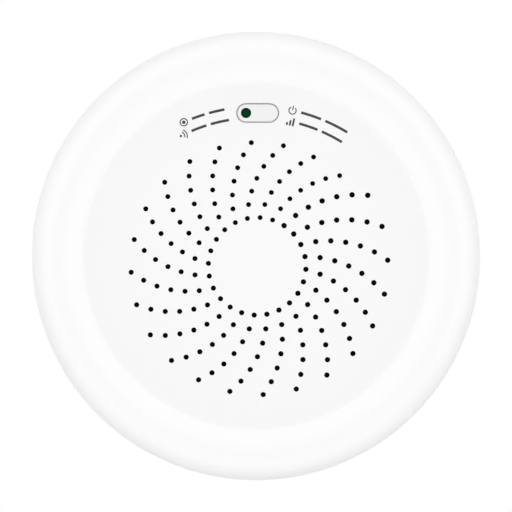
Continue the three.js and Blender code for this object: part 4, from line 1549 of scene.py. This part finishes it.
def buildHousing():
    shell = lathe("back_housing", housingProfile(), shared["sides"])
    rootY = plateBackY - housing["plateWall"] / 2
    outX = bayHalfX + housing["bayWall"]
    outZ = bayHalfZ + housing["bayWall"]
    earX = openingHalfX + housing["earWall"]
    earReach = housing["barrelRadius"] + housing["earReach"]
    pocketFrontY = hingeY - housing["barrelRadius"] - shared["fitGap"]
    overrun = shared["overrun"]
    outY = plateBackY + overrun
    thumbX = housing["thumbWidth"] / 2
    thumbY = plateBackY - housing["thumbDepth"]
    thumbZ = -doorHalfZ - housing["thumbReach"]
    pivot = housing["trunnionRadius"] + shared["runningGap"]
    adds = [
        *ledgeSolids(),
        block("tub", -outX, outX, bayFrontY, rootY, -outZ, outZ,
              housing["tubCorner"], frontRound=housing["tubRound"]),
        block("ears", -earX, earX, hingeY - earReach, rootY,
              hingeZ - earReach, pocketTopZ + housing["earReach"], housing["pocketCorner"]),
    ]
    cuts = [
        block("bay", -bayHalfX, bayHalfX, bayFloorY, outY, -bayHalfZ, bayHalfZ,
              housing["bayCorner"], frontRound=housing["bayRound"]),
        block("opening", -openingHalfX, openingHalfX, doorFrontY, outY,
              -openingHalfZ, openingHalfZ, housing["openingCorner"]),
        block("pocket", -openingHalfX, openingHalfX, pocketFrontY, outY,
              bayHalfZ - overrun, pocketTopZ, housing["pocketCorner"]),
        block("thumb", -thumbX, thumbX, thumbY, outY, thumbZ, -bayHalfZ, housing["thumbCorner"]),
        crossRod("pivot", pivot, earX + overrun, hingeY, hingeZ, housing["pivotBevel"]),
        *contactSlots(),
    ]
    boss = housing["caseBossRadius"]
    head = housing["caseHeadRadius"] + shared["runningGap"]
    shank = housing["caseShankRadius"] + shared["fitGap"]
    lipEndY = seamY - housing["lipDepth"] - overrun
    for angle, x, z in rings(shared["screwCount"], firstCaseScrewAngle, caseScrewRadius):
        notch = rod("notch", x, z, boss + shared["fitGap"], seamY + shared["runningGap"], lipEndY)
        carved(shell, cuts=[notch])
        adds.append(rod("boss", x, z, boss, rootY, seamY + shared["fitGap"]))
        cuts.append(rod("head", x, z, head, outY, caseHeadSeatY, housing["caseHeadFlare"]))
        cuts.append(rod("shank", x, z, shank, caseHeadSeatY + overrun / 2, seamY - overrun))
    for angle, x, z in rings(shared["screwCount"], firstBoardScrewAngle, boardScrewRadius):
        adds.append(rod("standoff", x, z, housing["standoffRadius"], rootY, boardHigh.y))
        cuts.append(rod("pilot", x, z, housing["pilotRadius"], plateFrontY, boardHigh.y - overrun))
    carved(shell, adds, cuts)
    dress(shell, mouldedPlastic("housing"), "detector", "housing_white", "rear_housing")


buildHousing()
report("rear housing")


# Mounting bracket

bracket = {
    "wall": 2.0,
    "ringWidth": 9.6,
    "edgeRound": 0.35,
    "slotWidth": 5.0,
    "slotSpan": 20.0,
    "keyholeRadius": 2.6,
    "lugWall": 1.3,
    "lugBackRound": 0.2,
    "lugFrontRound": 0.25,
    "webInner": 0.3,  # how far the web stands in from the lug, on each side
    "webOuter": 0.4,
    "webEnd": 0.5,
    "webLap": 0.6,
    "countersink": 0.3,
}


def throughLevels(wall, flare):
    # A hole through a plate whose back is the wall plane, with both its edges broken.
    return [
        (shared["overrun"], flare), (0, flare), (-flare, 0),
        (flare - wall, 0), (-wall, flare), (-wall - shared["overrun"], flare),
    ]


def buildBracket():
    outer = recessRadius - housing["ledgeReach"] - shared["fitGap"]
    inner = outer - bracket["ringWidth"]
    middle = outer - bracket["ringWidth"] / 2
    lugRadius = recessRadius - shared["fitGap"]
    frontY = bracketLow.y
    lugBackY = frontY + bracket["lugWall"]
    section = rectangle(inner, outer, -bracket["wall"], 0, bracket["edgeRound"])(0)
    plate = lathe("wall_ring", section, shared["sides"], hollow=True)
    half = housing["lugWidth"] / 2
    root = outer - bracket["lugWall"] - 2 * shared["fitGap"]
    webLevels = [(-bracket["wall"] / 2, 0), (lugBackY - bracket["webLap"], 0)]
    lugLevels = roundedLevels(lugBackY, frontY, bracket["lugBackRound"], bracket["lugFrontRound"])
    adds = []
    for angle, x, z in rings(housing["lugCount"], housing["firstLugAngle"], 1):
        low = angle - half
        high = angle + half
        webLow = low + bracket["webEnd"]
        webHigh = high - bracket["webEnd"]
        web = sector(root + bracket["webInner"], outer - bracket["webOuter"], webLow, webHigh)
        adds.append(loft("web", web, webLevels))
        adds.append(loft("lug", sector(root, lugRadius, low, high, 16), lugLevels))
    through = throughLevels(bracket["wall"], bracket["countersink"])
    slots = [
        curvedSlot(middle, bracket["slotWidth"], turn, bracket["slotSpan"]) for turn in (0, 180)
    ]
    keyholes = [disc(bracket["keyholeRadius"], 0, z, 40) for z in (-middle, middle)]
    cuts = [loft("wall fixing", outline, through) for outline in slots + keyholes]
    carved(plate, adds, cuts)
    dress(plate, mouldedPlastic("bracket"), "wall_bracket", "bracket_white", "mounting_bracket")


buildBracket()
report("mounting bracket")


# Battery door

door = {
    "corner": 0.6,
    "edgeRound": 0.25,
    "barrelBevel": 0.15,
    "trunnionBevel": 0.2,
    "latchWidth": 8.0,
    "latchDepth": 3.0,
    "latchWall": 1.0,
    "latchCorner": 0.3,
    "tabWidth": 11.0,
    "tabReach": 1.7,
    "tabWall": 0.8,
    "tabRoot": 0.9,
    "tabCorner": 0.4,
    "tabRound": 0.2,
    "ribCount": 3,
    "ribWidth": 0.5,
    "ribDepth": 0.4,
    "ribCornerShare": 0.45,  # of a groove's width
}


def buildDoor():
    panel = block("door_panel", -doorHalfX, doorHalfX, doorFrontY, plateBackY, -doorHalfZ,
                  hingeZ, door["corner"], backRound=door["edgeRound"])
    halfLatch = door["latchWidth"] / 2
    latchLowZ = -bayHalfZ + shared["fitGap"]
    latchFrontY = doorFrontY - door["latchDepth"]
    latchBackY = doorFrontY + housing["doorWall"] / 2
    halfTab = door["tabWidth"] / 2
    tabFrontY = plateBackY - door["tabWall"]
    tabLowZ = -doorHalfZ - door["tabReach"]
    adds = [
        crossRod("barrel", housing["barrelRadius"], doorHalfX, hingeY, hingeZ, door["barrelBevel"]),
        crossRod("trunnion", housing["trunnionRadius"], doorHigh.x, hingeY, hingeZ,
                 door["trunnionBevel"]),
        block("latch", -halfLatch, halfLatch, latchFrontY, latchBackY, latchLowZ,
              latchLowZ + door["latchWall"], door["latchCorner"], frontRound=door["edgeRound"]),
        block("tab", -halfTab, halfTab, tabFrontY, plateBackY, tabLowZ,
              -doorHalfZ + door["tabRoot"], door["tabCorner"], backRound=door["tabRound"]),
    ]
    width = door["ribWidth"]
    grooveY = plateBackY - door["ribDepth"]
    outY = plateBackY + shared["overrun"]
    corner = width * door["ribCornerShare"]
    cuts = []
    for rib in range(door["ribCount"]):
        low = tabLowZ + width * (2 * rib + 1)
        cuts.append(block("groove", width - halfTab, halfTab - width, grooveY, outY,
                          low, low + width, corner))
    carved(panel, adds, cuts)
    dress(panel, mouldedPlastic("door"), "battery_door", "door_white", "battery_door")


buildDoor()
report("battery door")


# Screws

screws = {
    "sides": 28,
    "recessWidth": 0.6,
    "recessDepth": 0.7,
    "sets": {
        "case": {
            "ring": (firstCaseScrewAngle, caseScrewRadius, caseHeadSeatY),
            "head": (housing["caseHeadRadius"], housing["caseHeadHeight"]),
            "shank": (housing["caseShankRadius"], 21.0),
            "thread": (1.0, 0.25),
            "tilt": -90,
            "seed": 4,
        },
        "board": {
            "ring": (firstBoardScrewAngle, boardScrewRadius, boardLow.y),
            "head": (2.2, 1.4),
            "shank": (1.0, 5.5),
            "thread": (0.8, 0.2),
            "tilt": 90,
            "seed": 9,
        },
    },
}


def buildScrews():
    recipe = screwRecipe()
    finish = brushedMetal("screw")
    count = shared["screwCount"]
    for name, sizes in screws["sets"].items():
        firstAngle, radius, seatY = sizes["ring"]
        made = recipe.cook(
            seedMesh(name + "_screws"), finish,
            count=count,
            sides=screws["sides"],
            seed=sizes["seed"],
            ringRadius=radius * mm,
            firstAngle=math.radians(firstAngle),
            seatY=seatY * mm,
            headRadius=sizes["head"][0] * mm,
            headHeight=sizes["head"][1] * mm,
            shankRadius=sizes["shank"][0] * mm,
            shankLength=sizes["shank"][1] * mm,
            threadPitch=sizes["thread"][0] * mm,
            threadDepth=sizes["thread"][1] * mm,
            recessWidth=screws["recessWidth"] * mm,
            recessDepth=screws["recessDepth"] * mm,
            tilt=math.radians(sizes["tilt"]),
        )
        nodes = [f"{name}_screw_{number}" for number in range(1, count + 1)]
        dress(made, finish, "detector", "screw_steel", *nodes)


buildScrews()
report("screws")


# Batteries, of the AA size

cell = {
    "nubRadius": 2.7,
    "nubLength": 1.3,
    "nubRound": 0.3,
    "round": 0.5,
    "flatRadius": 4.6,  # of the flat end, which stands proud of a groove round it
    "grooveFrom": 4.7,
    "grooveTo": 5.7,
    "crimpRadius": 5.9,
    "grooveDepth": 0.22,
    "washerFrom": 0.9,  # the ring of the shoulder round the nub, from its foot
    "washerTo": 1.2,
    "washerStep": 0.15,
    "sides": 64,
}


def buildCell(name, direction, node):
    low, high = span(node)
    radius = (high.z - low.z) / 2
    end = high.x
    shoulder = end - cell["nubLength"]
    edge = cell["round"]
    nub = cell["nubRadius"]
    nubEdge = cell["nubRound"]
    grooved = cell["grooveDepth"] - end
    sunk = shoulder - cell["washerStep"]
    profile = [
        (cell["flatRadius"], -end),
        (cell["grooveFrom"], grooved),
        (cell["grooveTo"], grooved),
        (cell["crimpRadius"], -end),
        *arc(radius - edge, edge - end, edge, edge, -90, 0, 5),
        *arc(radius - edge, shoulder - edge, edge, edge, 0, 90, 5),
        (nub + cell["washerTo"], shoulder),
        (nub + cell["washerFrom"], sunk),
        (nub, sunk),
        *arc(nub - nubEdge, end - nubEdge, nubEdge, nubEdge, 0, 90, 4),
    ]
    profile = [(reach, along * direction) for reach, along in profile]
    centre = (0, (low.y + high.y) / 2, (low.z + high.z) / 2)
    made = lathe(name, profile, cell["sides"], centre, axis="X")
    dress(made, cellJacket(direction, end, shoulder), "detector", "battery_jacket", node)


buildCell("upper_cell", 1, "battery_1")
buildCell("lower_cell", -1, "battery_2")
report("batteries")


# Sensor, horn and the tall parts of the board

inside = {
    "canBackRound": 0.2,
    "canRound": 0.5,
    "capBackRound": 0.1,
    "capRound": 0.35,
    "portRadius": 1.2,
    "portDepth": 1.4,
    "portBevel": 0.2,
    "hornSides": 96,
    "hornWall": 1.3,
    "hornFrontWall": 0.9,
    "hornPortRadius": 3.0,
    "hornStep": 1.2,
    "hornBevel": 0.3,
    "discRound": 0.05,
    "capacitorBackRound": 0.3,
    "capacitorRound": 0.5,
    "coilFlange": 1.0,
    "coilBevel": 0.2,
    "coilCoreRadius": 2.6,
    "coilGap": 0.05,  # between a flange and the winding
    "coilLayers": 3,
    "wireRadius": 0.17,
}

blackFinish = mouldedPlastic("black")


def middleOf(node):
    low, high = span(node)
    return (low.x + high.x) / 2, (low.z + high.z) / 2, (high.x - low.x) / 2, low.y, high.y


def drum(name, node, backRound, frontRound, sides=64):
    # A rounded drum in the place of a round node.
    x, z, radius, frontY, backY = middleOf(node)
    levels = roundedLevels(backY, frontY, backRound, frontRound)
    return loft(name, disc(radius, x, z, sides), levels)


def buildSensor():
    can = drum("sensor_can", "co_sensor_body", inside["canBackRound"], inside["canRound"])
    dress(can, brushedMetal("sensorCan"), "detector", "sensor_can", "co_sensor_body")
    cap = drum("sensor_cap", "co_sensor_cap", inside["capBackRound"], inside["capRound"])
    x, z, radius, frontY, backY = middleOf("co_sensor_cap")
    edge = inside["portBevel"]
    levels = [
        (frontY + inside["portDepth"], 0), (frontY + edge, 0), (frontY, edge),
        (frontY - shared["overrun"], edge),
    ]
    carved(cap, cuts=[loft("port", disc(inside["portRadius"], x, z), levels)])
    dress(cap, blackFinish, "detector", "black_parts", "co_sensor_cap")


def buildHorn():
    x, z, radius, frontY, backY = middleOf("horn_cup")
    seatY = span("piezo_disc")[0].y
    inner = radius - inside["hornWall"]
    step = inner - inside["hornStep"]
    webY = frontY + inside["hornFrontWall"]
    port = inside["hornPortRadius"]
    edge = inside["hornBevel"]
    sides = inside["hornSides"]
    soft = inside["discRound"]
    profile = [
        (inner, backY), (inner, seatY), (step, seatY), (step, webY), (port, webY),
        (port, frontY + edge), (port + edge, frontY), (radius - 2 * edge, frontY),
        (radius, frontY + 2 * edge), (radius, backY),
    ]
    cup = lathe("horn_housing", profile, sides, (x, 0, z), hollow=True)
    dress(cup, mouldedPlastic("horn"), "detector", "horn_black", "horn_cup")
    brass = drum("brass_disc", "piezo_disc", soft, soft, sides)
    dress(brass, brushedMetal("brass"), "detector", "piezo_brass", "piezo_disc")
    fired = drum("ceramic_disc", "piezo_ceramic", soft, soft, sides)
    dress(fired, firedCeramic(), "detector", "piezo_white", "piezo_ceramic")


def buildCapacitor():
    can = drum(
        "capacitor_can", "buffer_capacitor",
        inside["capacitorBackRound"], inside["capacitorRound"], shared["smallSides"],
    )
    finish = shrunkSleeve(*span("buffer_capacitor"))
    dress(can, finish, "detector", "capacitor_sleeve", "buffer_capacitor")


def buildCoil():
    x, z, radius, frontY, backY = middleOf("horn_coil")
    flange = inside["coilFlange"]
    core = inside["coilCoreRadius"]
    edge = inside["coilBevel"]
    gap = inside["coilGap"]
    profile = [
        (radius - edge, backY), (radius, backY - edge),
        (radius, backY - flange), (core, backY - flange),
        (core, frontY + flange), (radius, frontY + flange),
        (radius, frontY + edge), (radius - edge, frontY),
    ]
    bobbin = lathe("coil_bobbin", profile, shared["smallSides"], (x, 0, z))
    dress(bobbin, blackFinish, "detector", "black_parts", "horn_coil")
    finish = enamelledWire()
    wound = windingRecipe(inside["coilLayers"]).cook(
        seedMesh("coil_winding"), finish,
        coreRadius=core * mm,
        wireRadius=inside["wireRadius"] * mm,
        length=(backY - frontY - 2 * flange - 2 * gap) * mm,
        middleX=x * mm,
        middleZ=z * mm,
        startY=(backY - flange - gap) * mm,
    )
    dress(wound, finish, "detector", "coil_copper")


buildSensor()
buildHorn()
buildCapacitor()
buildCoil()
report("sensor, horn, capacitor and coil")


# Nodes that keep their own shape

def finishNode(finish, *nodes):
    for node in nodes:
        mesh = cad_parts[node].data
        mesh.materials.clear()
        mesh.materials.append(finish.material)


ledLow, ledHigh = span("status_led")
finishNode(wovenScreen(), "insect_screen")
finishNode(solderMask(), "circuit_board")
finishNode(blackFinish, "test_switch", "switch_plunger", "microcontroller")
ledCentre = ((ledLow.x + ledHigh.x) / 2, ledLow.y, (ledLow.z + ledHigh.z) / 2)
finishNode(lampBody(ledCentre), "status_led")
finishNode(brushedMetal("spring"), "contact_bridge", "contact_positive", "contact_negative")
report("remaining nodes")


# Camera, light and floor

view = {
    "lens": 500.0,
    "sensor": 36.0,
    "imageWidth": 512,
    "bodyWidth": 448.2,  # of the image's width, taken up by the body
    "clipEnd": 20.0,  # in metres
}

light = {
    "front": 1.19,  # of the dome before the object
    "band": 3.7,  # of a bright band round the object's plane, on its front side
    "bandPower": 5.0,
    "rim": 0.5,  # of the same band on its back side, and what that gains towards the top
    "rimTop": 0.5,
    "rimPower": 3.0,
    "rear": 1.1,
    "rearFrom": 0.3,
    "keyPower": 0.55,
    "keySize": 700.0,
    "keyDistance": 1100.0,
    "keyAzimuth": 38.0,
    "keyElevation": 3.0,
}

ground = {
    "level": -100.0,
    "radius": 620.0,
    "wall": 1.0,
    "sides": 96,
    "tone": 0.86,
    "mottle": 0.01,
    "roughness": 0.6,
    "fadeFrom": 240.0,
    "fadeTo": 560.0,
}


def placeCamera():
    # Square on, at the distance where the body fills its share of the image.
    lensData = bpy.data.cameras.new("camera")
    lensData.lens = view["lens"]
    lensData.sensor_width = view["sensor"]
    lensData.clip_end = view["clipEnd"]
    halfView = view["sensor"] / 2 / view["lens"]
    widestY = crestY + cover["outerDrop"]
    distance = bodyRadius / (halfView * view["bodyWidth"] / view["imageWidth"]) - widestY
    made = bpy.data.objects.new("camera", lensData)
    made.location = (0.0, -distance * mm, 0.0)
    made.rotation_euler = (math.radians(90), 0.0, 0.0)
    scene.collection.objects.link(made)
    scene.camera = made


def seenWhite(graph):
    # 1 for the rays that show a background, straight or in a reflection.
    camera, glossy, transmission = (
        graph.node("ShaderNodeLightPath", output=output) for output in (0, 3, 6)
    )
    return graph.larger(camera, graph.larger(glossy, transmission))


def lightWorld():
    # A white background, and a soft dome that is brightest round the object's sides.
    world = bpy.data.worlds.new("studio")
    world.use_nodes = True
    scene.world = world
    graph = Graph(world.node_tree)
    graph.tree.nodes.clear()
    x, y, z = graph.parts(graph.node("ShaderNodeTexCoord"))
    level = 1 - graph.absolute(y)
    before = light["front"] * graph.step(-y, 0.0, 1.0)
    before = before + light["band"] * level ** light["bandPower"]
    rim = (light["rim"] + light["rimTop"] * 0.5 * (1 + z)) * level ** light["rimPower"]
    after = light["rear"] * graph.step(y, light["rearFrom"], 1.0) + rim
    glow = (y < 0.0) * before + (y > 0.0) * after
    share = seenWhite(graph)
    strength = share + (1 - share) * glow
    sockets = {"Color": (1, 1, 1, 1), "Strength": strength}
    shade = graph.node("ShaderNodeBackground", sockets=sockets)
    graph.node("ShaderNodeOutputWorld", sockets={"Surface": shade}, output=None)


def hangLamp(name, azimuth):
    lampData = bpy.data.lights.new(name, "AREA")
    lampData.shape = "DISK"
    lampData.size = light["keySize"] * mm
    lampData.energy = light["keyPower"]
    made = bpy.data.objects.new(name, lampData)
    turn = math.radians(azimuth)
    rise = math.radians(light["keyElevation"])
    level = math.cos(rise)
    away = Vector((math.sin(turn) * level, -math.cos(turn) * level, math.sin(rise)))
    made.location = away * light["keyDistance"] * mm
    made.rotation_euler = away.to_track_quat("Z", "Y").to_euler()
    made.visible_camera = False
    scene.collection.objects.link(made)


def layFloor():
    # A pale disc below the object, which takes its shadow, leaves its light alone and fades
    # to the white background at the rim.
    profile = [(ground["radius"], -ground["wall"]), (ground["radius"], 0.0)]
    floor = lathe("floor", profile, ground["sides"])
    floor.data.transform(Matrix.Rotation(math.radians(90), 4, "X"))
    floor.data.transform(Matrix.Translation((0, 0, ground["level"] * mm)))
    finish = Finish("floor", Roughness=ground["roughness"])
    x, y, z = finish.parts(finish.place)
    cloud = finish.noise(0.01, detail=2)
    pale = ground["tone"]
    finish.feed("Base Color", finish.blend(cloud, tone(pale * (1 - ground["mottle"])), tone(pale)))
    reach = finish.root(x * x + y * y)
    fade = finish.step(reach, ground["fadeFrom"], ground["fadeTo"]) * seenWhite(finish)
    sockets = {"Color": (1, 1, 1, 1), "Strength": 1.0}
    white = finish.node("ShaderNodeEmission", sockets=sockets)
    mixed = finish.node("ShaderNodeMixShader", sockets={0: fade, 2: white})
    finish.tree.links.new(finish.shader.outputs["BSDF"], mixed.socket.node.inputs[1])
    output = next(node for node in finish.tree.nodes if node.type == "OUTPUT_MATERIAL")
    finish.tree.links.new(mixed.socket, output.inputs["Surface"])
    floor.data.materials.append(finish.material)
    floor.visible_diffuse = False
    floor.visible_shadow = False


placeCamera()
lightWorld()
hangLamp("key left", -light["keyAzimuth"])
hangLamp("key right", light["keyAzimuth"])
layFloor()
report("camera, light and floor")
